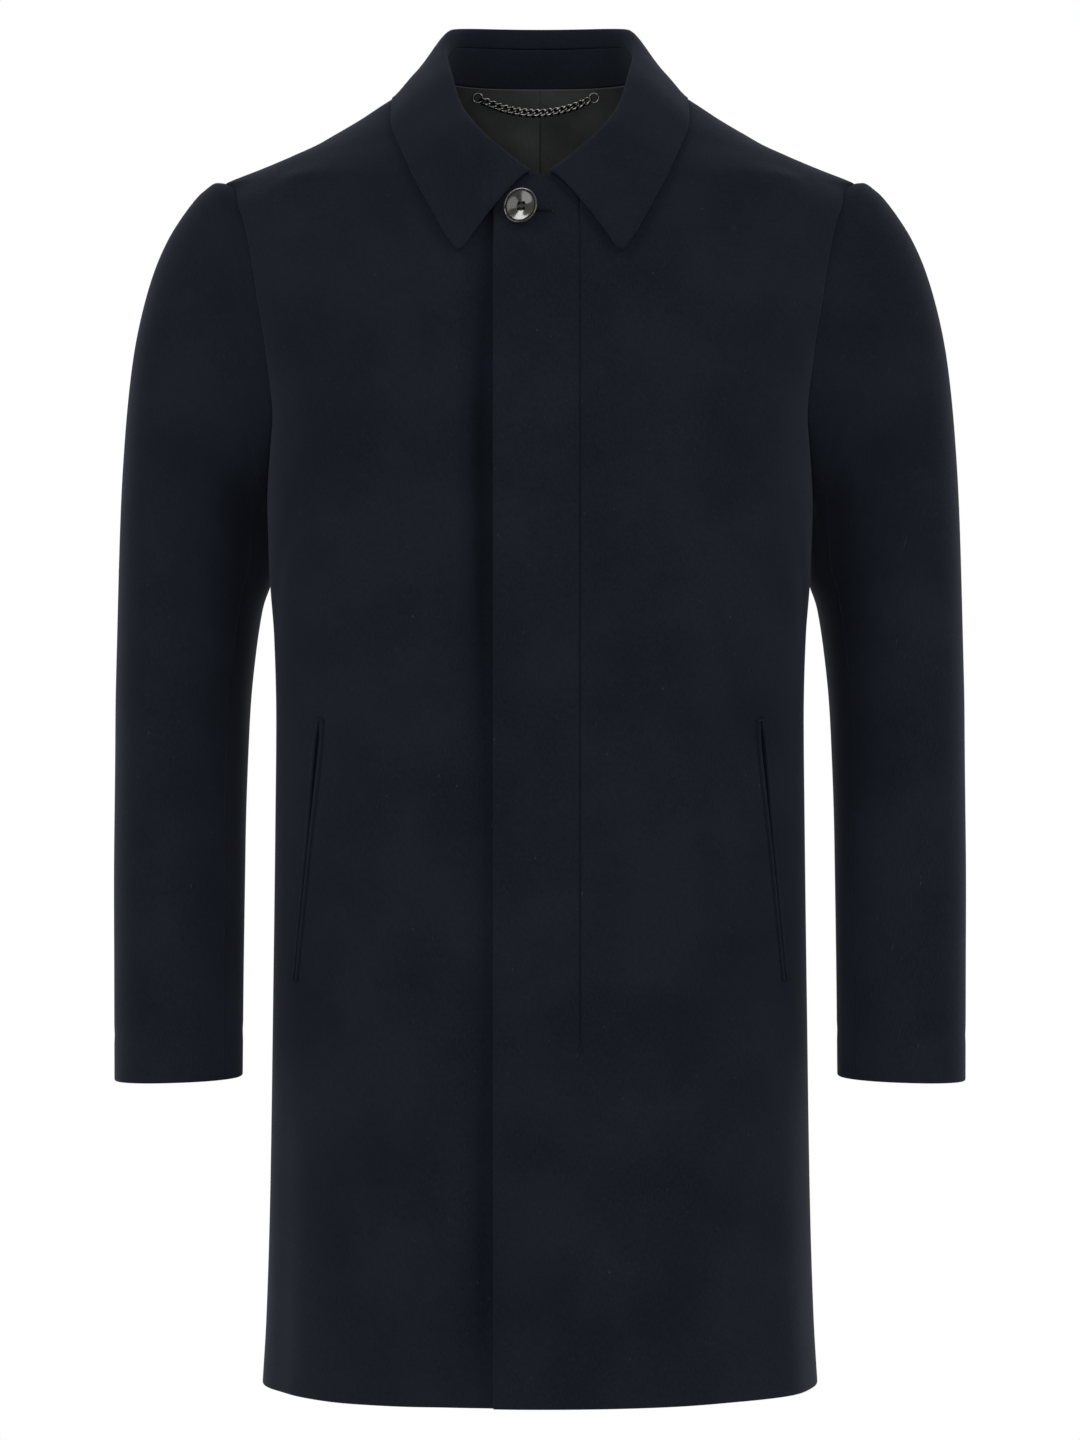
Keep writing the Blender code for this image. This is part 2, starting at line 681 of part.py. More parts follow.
def build_pockets():
    """Two narrow jets along each slanted mouth, laid on the front and moved out from it."""
    share = np.linspace(0.0, 1.0, POCKET_ROWS + 1)
    x = POCKET_TOP[0] + (POCKET_FOOT[0] - POCKET_TOP[0]) * share
    z = POCKET_TOP[1] + (POCKET_FOOT[1] - POCKET_TOP[1]) * share
    opened = ease(0.0, MOUTH_OPENS, share) * ease(MOUTH_SHUT, MOUTH_FULL, share)
    gape = MOUTH_GAP + MOUTH_GAPE * opened
    for side_name, side in (("left", 1.0), ("right", -1.0)):
        angles = side * front_angle(x, z)
        line = body_point(z, angles)
        normal = body_normal(z, angles)
        along = unit(np.gradient(line, axis=0))
        across = side * unit(np.cross(along, normal))
        for jet_name, way in (("front", 1.0), ("back", -1.0)):
            outer, inner = [], []
            for reach, height in zip(JET_CROWN["across"], JET_CROWN["height"]):
                offset = way * (gape / 2 + reach * JET_WIDTH)
                base = line + across * offset[:, None] + normal * SEAM_GAP
                inner.append(base)
                outer.append(base + normal * JET_CLOTH * height)
            outer, inner = np.array(outer), np.array(inner)
            facing = np.sum(face_normals(outer) * normal[None], axis=-1).mean()
            if facing < 0:
                outer, inner = outer[::-1], inner[::-1]
            wall("pocket_" + side_name + "_jet_" + jet_name, outer, inner, "navy_wool")


# Button


def build_button():
    """A dished four-hole button, turned from its profile and drilled."""
    radii = BUTTON_PROFILE["radius"] * BUTTON_RADIUS
    levels = BUTTON_PROFILE["height"] * BUTTON_HEIGHT
    sides = BUTTON_SIDES
    spokes = np.linspace(0.0, 2 * math.pi, sides, endpoint=False)
    points = [(0.0, 0.0, levels[0])]
    for radius, height in zip(radii[1:-1], levels[1:-1]):
        points += [(radius * math.cos(a), radius * math.sin(a), height) for a in spokes]
    points.append((0.0, 0.0, levels[-1]))
    last = len(points) - 1
    rings = len(radii) - 2
    faces = []
    for j in range(sides):
        k = (j + 1) % sides
        faces.append([0, 1 + k, 1 + j])
        for i in range(rings - 1):
            low = 1 + i * sides
            faces.append([low + j, low + k, low + sides + k, low + sides + j])
        faces.append([last, 1 + (rings - 1) * sides + j, 1 + (rings - 1) * sides + k])
    button = add_object("button", points, faces, "button_horn", sharp=BUTTON_SHARP)
    angle = float(front_angle(BUTTON_X, BUTTON_Z))
    place = body_point(BUTTON_Z, angle) + body_normal(BUTTON_Z, angle) * button_clearance()
    button.location = tuple(place)
    button.rotation_euler = (math.radians(90.0 - BUTTON_PITCH), 0.0, math.radians(-BUTTON_TURN))
    for across in (-0.5, 0.5):
        for up in (-0.5, 0.5):
            drill_hole(button, across * HOLE_ACROSS, up * HOLE_UP)


def button_clearance():
    """Enough room behind the turned button for its nearer edge to stay off the cloth."""
    return BUTTON_RADIUS * math.sin(math.radians(BUTTON_TURN)) * BUTTON_STAND_OFF + SEAM_GAP


def drill_hole(button, x, y):
    bpy.ops.mesh.primitive_cylinder_add(vertices=HOLE_SIDES, radius=HOLE_RADIUS, depth=4 * BUTTON_HEIGHT)
    cutter = bpy.context.object
    cutter.name = "button_drill"
    cutter.parent = button
    cutter.location = (x, y, 0.0)
    cutter.hide_render = True
    cutter.display_type = "WIRE"
    cut = button.modifiers.new("hole", "BOOLEAN")
    cut.operation = "DIFFERENCE"
    cut.solver = "EXACT"
    cut.object = cutter


# Hanger chain


def build_chain():
    """A band of the chain's outer shape, a swelling for each link, and a ring at each end."""
    start = CHAIN_HALF_SPAN - RING_RADIUS - RING_WIRE - SEAM_GAP
    steps = STEPS_PER_LINK * CHAIN_LINKS
    x = np.linspace(-start, start, steps + 1)
    z = CHAIN_END_Z - CHAIN_SAG * (1 - (x / CHAIN_HALF_SPAN) ** 2)
    line = np.stack([CHAIN_X + x, np.full_like(x, CHAIN_Y), z], axis=-1)
    along = unit(np.gradient(line, axis=0))
    through = np.array([0.0, 1.0, 0.0])
    up = np.cross(through, along)
    swell = 1 - CHAIN_SWELL + CHAIN_SWELL * np.cos(np.linspace(0.0, 2 * math.pi * CHAIN_LINKS, steps + 1))
    sections = []
    for spoke in np.linspace(0.0, 2 * math.pi, CHAIN_SIDES, endpoint=False):
        wide = (swell * CHAIN_WIDTH / 2 * math.cos(spoke))[:, None] * up
        deep = (CHAIN_THICK / 2 * math.sin(spoke) / math.sin(math.pi / 3)) * through
        sections.append(line + wide + deep)
    band = np.stack(sections, axis=1)
    tube("hanger_chain", band, "gunmetal", closed=False)
    for name, side in (("left", 1.0), ("right", -1.0)):
        centre = np.array([CHAIN_X + side * CHAIN_HALF_SPAN, CHAIN_Y, CHAIN_END_Z])
        build_ring("hanger_ring_" + name, centre)


def build_ring(name, centre):
    rings = []
    for turn in np.linspace(0.0, 2 * math.pi, RING_STEPS, endpoint=False):
        spoke = np.array([math.cos(turn), 0.0, math.sin(turn)])
        ring = []
        for around in np.linspace(0.0, 2 * math.pi, WIRE_SIDES, endpoint=False):
            reach = RING_RADIUS + RING_WIRE * math.cos(around)
            ring.append(centre + spoke * reach + np.array([0.0, RING_WIRE * math.sin(around), 0.0]))
        rings.append(ring)
    tube(name, np.array(rings), "gunmetal", closed=True)


for leftover in list(bpy.data.objects):
    bpy.data.objects.remove(leftover)

build_fronts()
build_backs()
build_lining()
build_sleeves()
build_collar()
build_pockets()
build_button()
build_chain()
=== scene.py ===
"""Looks of the tailored coat: fine cloth shells on the forms of the solids, lining, sewing,
button, hanger chain, materials, soft studio light and the camera of the photograph.

Metres, +Z up, front towards -Y, the wearer's left at +X, origin in the neck at nape height.
"""

import math

import bpy
import numpy as np
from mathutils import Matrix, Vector


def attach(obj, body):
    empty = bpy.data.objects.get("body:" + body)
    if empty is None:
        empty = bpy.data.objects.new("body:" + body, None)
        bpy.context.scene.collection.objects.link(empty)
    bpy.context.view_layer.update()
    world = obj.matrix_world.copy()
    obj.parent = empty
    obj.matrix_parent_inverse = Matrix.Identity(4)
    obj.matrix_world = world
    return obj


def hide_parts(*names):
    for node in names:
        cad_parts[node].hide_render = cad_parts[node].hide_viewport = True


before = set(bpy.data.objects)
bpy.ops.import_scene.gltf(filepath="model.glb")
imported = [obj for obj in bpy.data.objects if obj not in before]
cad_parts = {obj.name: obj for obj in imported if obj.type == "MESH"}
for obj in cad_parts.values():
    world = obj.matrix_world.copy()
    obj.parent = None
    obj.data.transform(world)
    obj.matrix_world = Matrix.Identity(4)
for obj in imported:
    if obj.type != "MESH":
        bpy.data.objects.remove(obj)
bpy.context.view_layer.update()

# Photograph: its size in pixels, and the real size of a pixel in the plane of the origin
PHOTO_WIDTH = 1080
PHOTO_HEIGHT = 1440
PIXEL = 0.000728
CAMERA_DISTANCE = 3.4
CAMERA_HEIGHT = -0.470
SENSOR = 36.0

# Cloth
CLOTH = 0.0025
COLLAR_CLOTH = 0.0022
LINING_CLOTH = 0.0010
JET_CLOTH = 0.0018
EDGE_ROUND = 0.0014
EDGE_LEAST = 0.30
SEAM_ROUND = 0.0008
EDGE_STEPS = (0.0, 0.0003, 0.0008, 0.0015, 0.0026)
SEAM_WIDTH = 0.0012
SEAM_DIP = 0.0003
SLEEVE_SEAM_DIP = 0.0001
ARMHOLE_TURN = 0.9
SLEEVE_TUCK = 0.06
ARMHOLE_AGREE = 0.5

# Heights from the nape
HEM = -0.951
PIT = -0.314
SHOULDER_POINT = -0.0798

# The bend at the shoulder point, softened off the ridge over these steps; each pair of limits
# says where the softening starts and where it is whole
SHOULDER_SOFT = np.linspace(-0.020, 0.020, 9)
RIDGE_SPREAD = 13.0
SOFT_TURN = (40.0, 62.0)
SOFT_ABOVE = (-0.040, -0.062)
SOFT_BELOW = (-0.170, -0.130)

# Neck opening and front edges
NECK_HALF = 0.078
NECK_DROP = 0.083
LEFT_EDGE = -0.033
RIGHT_EDGE = 0.045
LAP_REACH = (-0.062, -0.035)

# Armhole and the sleeve's seams, in degrees round the body and round the arm
SCOOP_FRONT = 24.0
SCOOP_BACK = 21.0
SCOOP_SKEW = 0.4
ARMHOLE_BLEND = 3.0
FRONT_SEAM = 138.0
BACK_SEAM = 246.0

# Lining of the backs, with a pleat down the centre
LINING_INSET = CLOTH + 0.0022
LINING_FOOT = -0.925
LINING_HEAD = 0.0008
LINING_HEAD_INSET = 0.0040
LINING_TUCK = 0.022
LINING_EASE = 0.0016
LINING_SIDE = 97.0
LINING_SIDE_HEAD = 128.0
LINING_SIDE_NECK = 100.0
LINING_NARROWING = (-0.360, -0.180)
LINING_WIDENING = (-0.070, -0.012)
PLEAT_PROUD = 0.0026
PLEAT_WIDTH = 0.014
PLEAT_FULL = -0.085

# Waves of the satin, each by its depth and its run across and up: drags below the neck, and a sway
DRAG = (0.0018, 0.0125, 0.016)
DRAG_REACH = (-0.30, -0.05)
SWAY = (0.0007, 0.034, -0.11)

# Slanted pockets
POCKET_TOP = (0.156, -0.470)
POCKET_FOOT = (0.1742, -0.655)
JET_WIDTH = 0.0033
MOUTH_GAP = 0.0009
MOUTH_GAPE = 0.0024
GAPE_OPENING = (0.0, 0.08)
GAPE_CLOSING = (0.55, 0.15)
JET_EDGE = 0.25
BAR_TACK = 0.0038
BAR_TACK_HEIGHT = 0.0005
BAR_TACK_THREADS = 4

# Neck button, buttonhole and the fly's stitch line on the left front
BUTTON_RADIUS = 0.0126
BUTTON_HEIGHT = 0.0042
BUTTON_X = -0.0125
BUTTON_Z = -0.1100
BUTTON_TURN = 22.0
BUTTON_PITCH = 8.0
BUTTON_STAND_OFF = 0.95
BUTTON_SIDES = 96
BUTTON_SHARP = 38.0
SEAM_GAP = 0.0004
HOLE_RADIUS = 0.0012
HOLE_ACROSS = 0.0036
HOLE_UP = 0.0041
HOLE_SIDES = 32
SEWN_SHIFT = 0.0003
SEWN_SINK = 0.0024
BUTTONHOLE_START = -0.0140
BUTTONHOLE_END = 0.0088
BUTTONHOLE_Z = -0.1110
WHIP_PITCH = 0.00050
SLIT_HALF = 0.00036
LIP_HEIGHT = 0.0013
LIP_RISE = 0.00030
END_BAR = 0.0012
END_BAR_THREADS = 5
END_BAR_REACH = 1.4
SLIT_POINTS = 24
FLY_X = 0.0280
FLY_TOP = -0.118
FLY_FOOT = -0.700
FLY_GROOVE = 0.0014
FLY_GROOVE_WIDTH = 0.0008
FLY_FADE = 0.004
FLY_TACK = 0.0016
FLY_TACK_HEIGHT = 0.0014
FLY_TACK_THREADS = 6
STITCH_LENGTH = 0.0030
STITCH_GAP = 0.0007
STITCH_SINK = 0.0004
STITCH_SEAT = 0.4
TACK_SEAT = 0.6
THREAD = 0.00026
THREAD_END = 8
THREAD_LEAST = 0.06
UPRIGHT_LIMIT = 0.8
STITCH_POINTS = 6
WHIP_POINTS = 5
BAR_POINTS = 7
SEWN_POINTS = 9

# Columns of the left front, crowded close to the fly's line: the span they cover, how close, the
# least share of the span that the line lies at, and the shares of the columns that are crowded
FRONT_SPAN = 0.27
FLY_REFINED = 0.004
FLY_LEAST = 0.06
CROWDED = (0.0, 0.16, 0.30, 1.0)

# Hanger chain
CHAIN_X = -0.0030
CHAIN_HALF_SPAN = 0.0430
CHAIN_END_Z = -0.0094
CHAIN_SAG = 0.0112
CHAIN_Y = 0.0585
CHAIN_LINKS = 17
CHAIN_WIDTH = 0.0070
LINK_WIRE = 0.00120
LINK_TWIST = 0.0009
LINK_SLANT = 0.0017
LINK_LAP = 1.1
LINK_POINTS = 36
LINK_SIDES = 10
RING_RADIUS = 0.0035
RING_WIRE = 0.0006
RING_POINTS = 40
RING_SIDES = 12

# Cuff hem, felt as a faint line round the sleeve
CUFF_HEM_ROW = 11.60
CUFF_HEM_DEPTH = 0.0004
CUFF_HEM_WIDTH = 0.030


def table(names, *rows):
    """A table of sections, kept as named columns."""
    return dict(zip(names.split(), np.array(rows, dtype=float).T))


# Sections of the body, one row for each height
BODY = table(
    "height half_width front back square",
    (-0.951, 0.2017, 0.1450, 0.1500, 2.15),
    (-0.905, 0.1990, 0.1435, 0.1470, 2.15),
    (-0.820, 0.1963, 0.1410, 0.1400, 2.15),
    (-0.670, 0.1940, 0.1360, 0.1260, 2.20),
    (-0.550, 0.1925, 0.1310, 0.1140, 2.20),
    (-0.470, 0.1918, 0.1290, 0.1080, 2.20),
    (-0.410, 0.1933, 0.1305, 0.1100, 2.25),
    (-0.370, 0.1962, 0.1325, 0.1145, 2.30),
    (-0.314, 0.1982, 0.1350, 0.1215, 2.35),
    (-0.260, 0.1992, 0.1348, 0.1265, 2.40),
    (-0.205, 0.2112, 0.1305, 0.1275, 2.40),
    (-0.160, 0.2225, 0.1215, 0.1250, 2.40),
    (-0.117, 0.2272, 0.1075, 0.1185, 2.35),
    (-0.094, 0.2270, 0.0975, 0.1130, 2.30),
    (-0.0808, 0.2306, 0.0910, 0.1098, 2.25),
    (-0.0798, 0.2286, 0.0905, 0.1093, 2.25),
    (-0.0700, 0.2030, 0.0840, 0.1060, 2.25),
    (-0.0584, 0.1725, 0.0765, 0.1020, 2.20),
    (-0.0456, 0.1507, 0.0670, 0.0978, 2.15),
    (-0.0340, 0.1314, 0.0560, 0.0935, 2.10),
    (-0.0223, 0.1139, 0.0440, 0.0888, 2.05),
    (-0.0135, 0.1000, 0.0360, 0.0848, 2.00),
    (0.0000, 0.0780, 0.0280, 0.0780, 2.00),
)

# Soft folds in the hang of the body: ridges are positive, angles run from the centre front
BODY_FOLDS = table(
    "angle spread top foot depth",
    (-17.0, 7.0, -0.620, -0.951, -0.0040),
    (-42.0, 10.0, -0.560, -0.951, 0.0030),
    (41.0, 9.0, -0.600, -0.951, -0.0020),
    (62.0, 9.0, -0.640, -0.951, 0.0025),
    (-68.0, 8.0, -0.600, -0.951, -0.0025),
    (122.0, 10.0, -0.500, -0.951, -0.0035),
    (150.0, 10.0, -0.520, -0.951, 0.0035),
    (-118.0, 9.0, -0.540, -0.951, -0.0030),
    (-147.0, 11.0, -0.500, -0.951, 0.0040),
)

# How far the lower front lies behind the plain face where it runs under the lap
LAP = table(
    "height depth",
    (-0.951, 0.0050),
    (-0.860, 0.0110),
    (-0.760, 0.0090),
    (-0.620, 0.0062),
    (-0.470, 0.0080),
    (-0.360, 0.0140),
    (-0.270, 0.0150),
    (-0.180, 0.0100),
    (-0.100, 0.0050),
    (0.000, 0.0036),
)

# Creases placed on the body: where each has its middle, how it leans from the upright,
# how wide and long it is, and how far it stands out
BODY_CREASES = table(
    "angle height lean width length depth",
    (-12.5, -0.255, -2.0, 0.014, 0.075, -0.0022),
    (-14.0, -0.870, 3.0, 0.022, 0.090, -0.0025),
    (-24.0, -0.480, 3.0, 0.018, 0.130, -0.0008),
    (-52.0, -0.270, 24.0, 0.020, 0.075, 0.0014),
    (54.0, -0.265, -26.0, 0.020, 0.080, 0.0014),
    (-66.0, -0.345, 34.0, 0.014, 0.060, -0.0016),
    (68.0, -0.350, -32.0, 0.014, 0.062, -0.0016),
    (40.0, -0.780, 4.0, 0.022, 0.110, -0.0014),
    (-36.0, -0.700, -5.0, 0.024, 0.120, 0.0012),
    (28.0, -0.420, 2.0, 0.026, 0.140, 0.0008),
    (118.0, -0.300, -28.0, 0.018, 0.080, 0.0020),
    (-116.0, -0.310, 26.0, 0.018, 0.080, 0.0018),
    (140.0, -0.460, -12.0, 0.020, 0.110, -0.0018),
    (-142.0, -0.440, 14.0, 0.020, 0.100, -0.0016),
    (165.0, -0.250, -6.0, 0.022, 0.110, -0.0014),
    (-168.0, -0.600, 5.0, 0.024, 0.140, 0.0014),
)
CREASE_RADIUS = 0.165
CREASE_WOBBLE = 0.004
CREASE_WAVE = 0.070

# Sections of the left sleeve from the armhole to the cuff: the outer and inner points of each
# ring, and how far it reaches to the front and to the back of the line between them
SLEEVE = table(
    "outer_x outer_y outer_z inner_x inner_y inner_z front back",
    (0.2286, 0.000, -0.0798, 0.1982, 0.000, -0.3140, 0.060, 0.052),
    (0.2350, 0.001, -0.0793, 0.1992, 0.006, -0.3175, 0.062, 0.057),
    (0.2457, 0.002, -0.0863, 0.1992, 0.013, -0.3220, 0.065, 0.063),
    (0.2705, 0.004, -0.1205, 0.1985, 0.022, -0.3290, 0.069, 0.069),
    (0.2850, 0.005, -0.1570, 0.1978, 0.030, -0.3380, 0.071, 0.072),
    (0.2962, 0.006, -0.2079, 0.1972, 0.036, -0.3500, 0.072, 0.074),
    (0.3022, 0.006, -0.2662, 0.1975, 0.037, -0.3660, 0.072, 0.075),
    (0.3055, 0.006, -0.3244, 0.2038, 0.032, -0.3880, 0.071, 0.075),
    (0.3074, 0.004, -0.4000, 0.2086, 0.020, -0.4250, 0.069, 0.072),
    (0.3085, 0.000, -0.4700, 0.2122, 0.008, -0.4780, 0.066, 0.069),
    (0.3084, -0.012, -0.5600, 0.2140, -0.008, -0.5600, 0.061, 0.064),
    (0.3070, -0.028, -0.6500, 0.2142, -0.026, -0.6480, 0.056, 0.058),
    (0.3056, -0.042, -0.7285, 0.2139, -0.042, -0.7256, 0.051, 0.053),
)
SLEEVE_SQUARE = 2.25
LAST_RING = len(SLEEVE["front"]) - 1.0

# Soft bends of the sleeve: where each lies down the rows and round the arm
SLEEVE_FOLDS = table(
    "row turn row_spread turn_spread depth",
    (8.6, 125.0, 0.55, 40.0, -0.0030),
    (9.6, 110.0, 0.50, 45.0, -0.0025),
    (9.1, 255.0, 0.60, 35.0, 0.0025),
    (7.0, 75.0, 0.70, 40.0, -0.0020),
    (9.0, 60.0, 0.35, 30.0, 0.0009),
    (10.4, 70.0, 0.50, 34.0, 0.0010),
    (6.1, 110.0, 0.45, 24.0, 0.0012),
    (5.2, 250.0, 0.50, 26.0, -0.0014),
    (8.1, 285.0, 0.50, 30.0, -0.0012),
    (10.2, 300.0, 0.45, 28.0, 0.0010),
)

# Half of the collar from the centre back to its front end: where the neck seam lies round the
# neck, 180 at the back, 90 at the shoulder and 0 in front; the fold line; the height of the
# stand; the outer edge of the fall by its place on the body and how far it stands off; how far
# the roll reaches out from the fold line; and how far the fall hollows towards the shoulder
COLLAR = table(
    "neck_turn fold_x fold_y fold_z stand edge_x edge_z lift reach hollow",
    (180.0, 0.0000, 0.0730, 0.0455, 0.0300, 0.0000, -0.0140, 0.0015, 0.0120, 0.0000),
    (154.0, 0.0340, 0.0675, 0.0450, 0.0296, 0.0480, -0.0150, 0.0015, 0.0130, 0.0000),
    (125.0, 0.0595, 0.0430, 0.0410, 0.0270, 0.0870, -0.0170, 0.0015, 0.0175, 0.0010),
    (98.0, 0.0650, 0.0110, 0.0215, 0.0090, 0.1076, -0.0183, 0.0018, 0.0140, 0.0030),
    (79.0, 0.0600, -0.0250, -0.0010, 0.0046, 0.1062, -0.0430, 0.0018, 0.0130, 0.0000),
    (60.0, 0.0525, -0.0560, -0.0275, 0.0058, 0.1000, -0.0625, 0.0018, 0.0130, 0.0000),
    (42.0, 0.0405, -0.0780, -0.0465, 0.0070, 0.0905, -0.0840, 0.0024, 0.0120, 0.0000),
    (23.0, 0.0245, -0.0890, -0.0625, 0.0060, 0.0768, -0.1100, 0.0032, 0.0120, 0.0000),
    (14.0, 0.0145, -0.0925, -0.0715, 0.0040, 0.0652, -0.1306, 0.0038, 0.0120, 0.0000),
    (9.0, 0.0085, -0.0940, -0.0765, 0.0025, 0.0574, -0.1402, 0.0042, 0.0115, 0.0000),
    (6.0, 0.0050, -0.0948, -0.0795, 0.0020, 0.0530, -0.1368, 0.0042, 0.0100, 0.0000),
)
COLLAR_SHOULDER = 3
ROLL_RISE = 1.70
ROLL_RISE_LEAST = 0.0090
COLLAR_SEAM = 0.0004
STAND_SHORT = 6.0 / 20.0
HOLLOW_AT = 0.8
DROOP = 0.0030
DROOP_FROM = 0.80
DOWN = np.array([0.0, 0.0, -1.0])
NECK_SEAM = -0.0014

# Turned profile of the button, as shares of its radius and of its height: a raised rim, a thin
# groove inside it and a dish with straight sides
BUTTON_PROFILE = table(
    "radius height",
    (0.00, 0.00),
    (0.60, 0.00),
    (0.88, 0.18),
    (0.97, 0.42),
    (1.00, 0.70),
    (0.995, 0.90),
    (0.975, 0.99),
    (0.950, 1.00),
    (0.925, 0.95),
    (0.905, 0.80),
    (0.888, 0.66),
    (0.868, 0.66),
    (0.852, 0.82),
    (0.835, 0.88),
    (0.815, 0.88),
    (0.600, 0.70),
    (0.400, 0.53),
    (0.300, 0.45),
    (0.280, 0.44),
    (0.00, 0.44),
)

# Steps along and round a surface over which its outward direction is taken
BODY_STEPS = (0.0045, 0.4)
SLEEVE_STEPS = (0.05, 1.0)

# Cells of the fine grids, and the lengths by which their borders are crowded
LOW_ROWS = 120
HIGH_ROWS = 44
FRONT_COLUMNS = 130
BACK_COLUMNS = 64
SLEEVE_ROWS = 130
TOP_COLUMNS = 72
UNDER_COLUMNS = 34
COLLAR_COLUMNS = 150
COLLAR_ROWS = 34
STAND_ROWS = 12
LINING_ROWS = 120
LINING_COLUMNS = 44
JET_ROWS = 70
JET_COLUMNS = 9
NECK_SPAN = 0.12
BACK_SPAN = 0.25
LINING_SPAN = 0.24
TOP_SPAN = 0.26
UNDER_SPAN = 0.11
SLEEVE_LENGTH = 0.66
COLLAR_LENGTH = 0.52
COLLAR_SPAN = 0.105
STAND_LENGTH = 0.46
STAND_SPAN = 0.032
JET_LENGTH = 0.186

# The two sides, left and right, by the sign of x on each
SIDES = (("left", 1.0), ("right", -1.0))


def smooth(knots, values, at):
    """Monotone cubic through a table's column, so that a section never overshoots its rows."""
    gaps = np.diff(knots)
    slopes = np.diff(values) / gaps
    tangents = np.zeros_like(values)
    tangents[0] = slopes[0]
    tangents[-1] = slopes[-1]
    for i in range(1, len(values) - 1):
        before, after = slopes[i - 1], slopes[i]
        if before * after > 0:
            early = 2 * gaps[i] + gaps[i - 1]
            late = gaps[i] + 2 * gaps[i - 1]
            tangents[i] = (early + late) / (early / before + late / after)
    at = np.asarray(at, dtype=float)
    i = np.clip(np.searchsorted(knots, at) - 1, 0, len(gaps) - 1)
    t = (at - knots[i]) / gaps[i]
    rise = values[i + 1] - values[i]
    start = tangents[i] * gaps[i]
    end = tangents[i + 1] * gaps[i]
    return values[i] + t * (start + t * (3 * rise - 2 * start - end + t * (start + end - 2 * rise)))


def ease(low, high, at):
    """Smooth step from 0 at low to 1 at high."""
    t = np.clip((np.asarray(at, dtype=float) - low) / (high - low), 0.0, 1.0)
    return t * t * (3 - 2 * t)


def bell(away):
    return np.exp(-away * away)


def unit(vectors):
    return vectors / np.linalg.norm(vectors, axis=-1, keepdims=True)


def signed_power(value, power):
    return np.sign(value) * np.abs(value) ** power


# Forms of the coat: those of its solids, with the shoulder point a little further out


def body_column(name, z):
    return smooth(BODY["height"], BODY[name], z)


def body_width(z, angle):
    """Half width of the body; off the shoulder's ridge its bend at the shoulder point is softened."""
    width = body_column("half_width", z)
    near = [body_column("half_width", np.minimum(z + step, 0.0)) for step in SHOULDER_SOFT]
    away = 1 - bell((np.abs(angle) - 90.0) / RIDGE_SPREAD)
    beside = ease(*SOFT_TURN, np.abs(angle))
    share = away * beside * ease(*SOFT_ABOVE, z) * ease(*SOFT_BELOW, z)
    return width + share * (np.mean(near, axis=0) - width)


def body_folds(z, angle):
    """How far the hang of the cloth stands out of its plain section."""
    total = np.zeros(np.broadcast(z, angle).shape)
    for middle, spread, top, foot, depth in zip(*BODY_FOLDS.values()):
        total = total + depth * bell((np.asarray(angle) - middle) / spread) * ease(top, foot, z)
    return total


def body_point(z, angle):
    """A point of the outer face: angle 0 is the centre front, 90 the left side, 180 the back."""
    z = np.asarray(z, dtype=float)
    turn = np.radians(angle)
    power = 2.0 / body_column("square", z)
    across = signed_power(np.sin(turn), power)
    along = signed_power(np.cos(turn), power)
    depth = np.where(along > 0, body_column("front", z), body_column("back", z))
    x = body_width(z, angle) * across
    y = -depth * along
    out = body_folds(z, angle) / np.hypot(x, y)
    return np.stack([x * (1 + out), y * (1 + out), np.broadcast_to(z, x.shape)], axis=-1)


def surface_normal(point, row, turn, row_step, turn_step):
    """Outward direction of a surface whose points are worked out from a row and a turn."""
    around = point(row, turn + turn_step) - point(row, turn - turn_step)
    lengthwise = point(row + row_step, turn) - point(row - row_step, turn)
    return unit(np.cross(around, lengthwise))


def body_normal(z, angle):
    return surface_normal(body_point, z, angle, *BODY_STEPS)


def front_angle(x, z):
    """The angle round the body of a point of the front at a given width."""
    share = np.clip(np.abs(x) / body_column("half_width", z), 0.0, 1.0)
    return np.sign(x) * np.degrees(np.arcsin(share ** (body_column("square", z) / 2)))


def armhole(turn):
    """The armhole loop: turn 0 at the shoulder, 90 at the front, 180 under the arm."""
    turn = np.radians(turn)
    middle = (SHOULDER_POINT + PIT) / 2
    half = (SHOULDER_POINT - PIT) / 2
    scoop = np.where(np.sin(turn) > 0, SCOOP_FRONT, SCOOP_BACK)
    bow = scoop * np.sin(turn) * (1 + SCOOP_SKEW * np.cos(turn))
    return middle + half * np.cos(turn), 90.0 - bow


def front_neckline(turn):
    """The front neckline: turn 90 at the left shoulder seam, 0 at the centre front."""
    turn = np.radians(turn)
    z = -NECK_DROP * np.abs(np.cos(turn))
    return z, front_angle(NECK_HALF * np.sin(turn), z)


def body_creases(z, angle):
    """The listed creases, soft-ended and a little wavy along their length."""
    total = np.zeros(np.broadcast(z, angle).shape)
    for middle, height, lean, width, length, depth in zip(*BODY_CREASES.values()):
        sideways = np.radians((np.asarray(angle) - middle + 180.0) % 360.0 - 180.0) * CREASE_RADIUS
        upwards = np.asarray(z) - height
        tilt = math.radians(lean)
        along = upwards * math.cos(tilt) + sideways * math.sin(tilt)
        across = sideways * math.cos(tilt) - upwards * math.sin(tilt)
        across = across + CREASE_WOBBLE * np.sin(along / CREASE_WAVE * math.pi + middle)
        total = total + depth * bell(across / width) * bell(along / length)
    return total


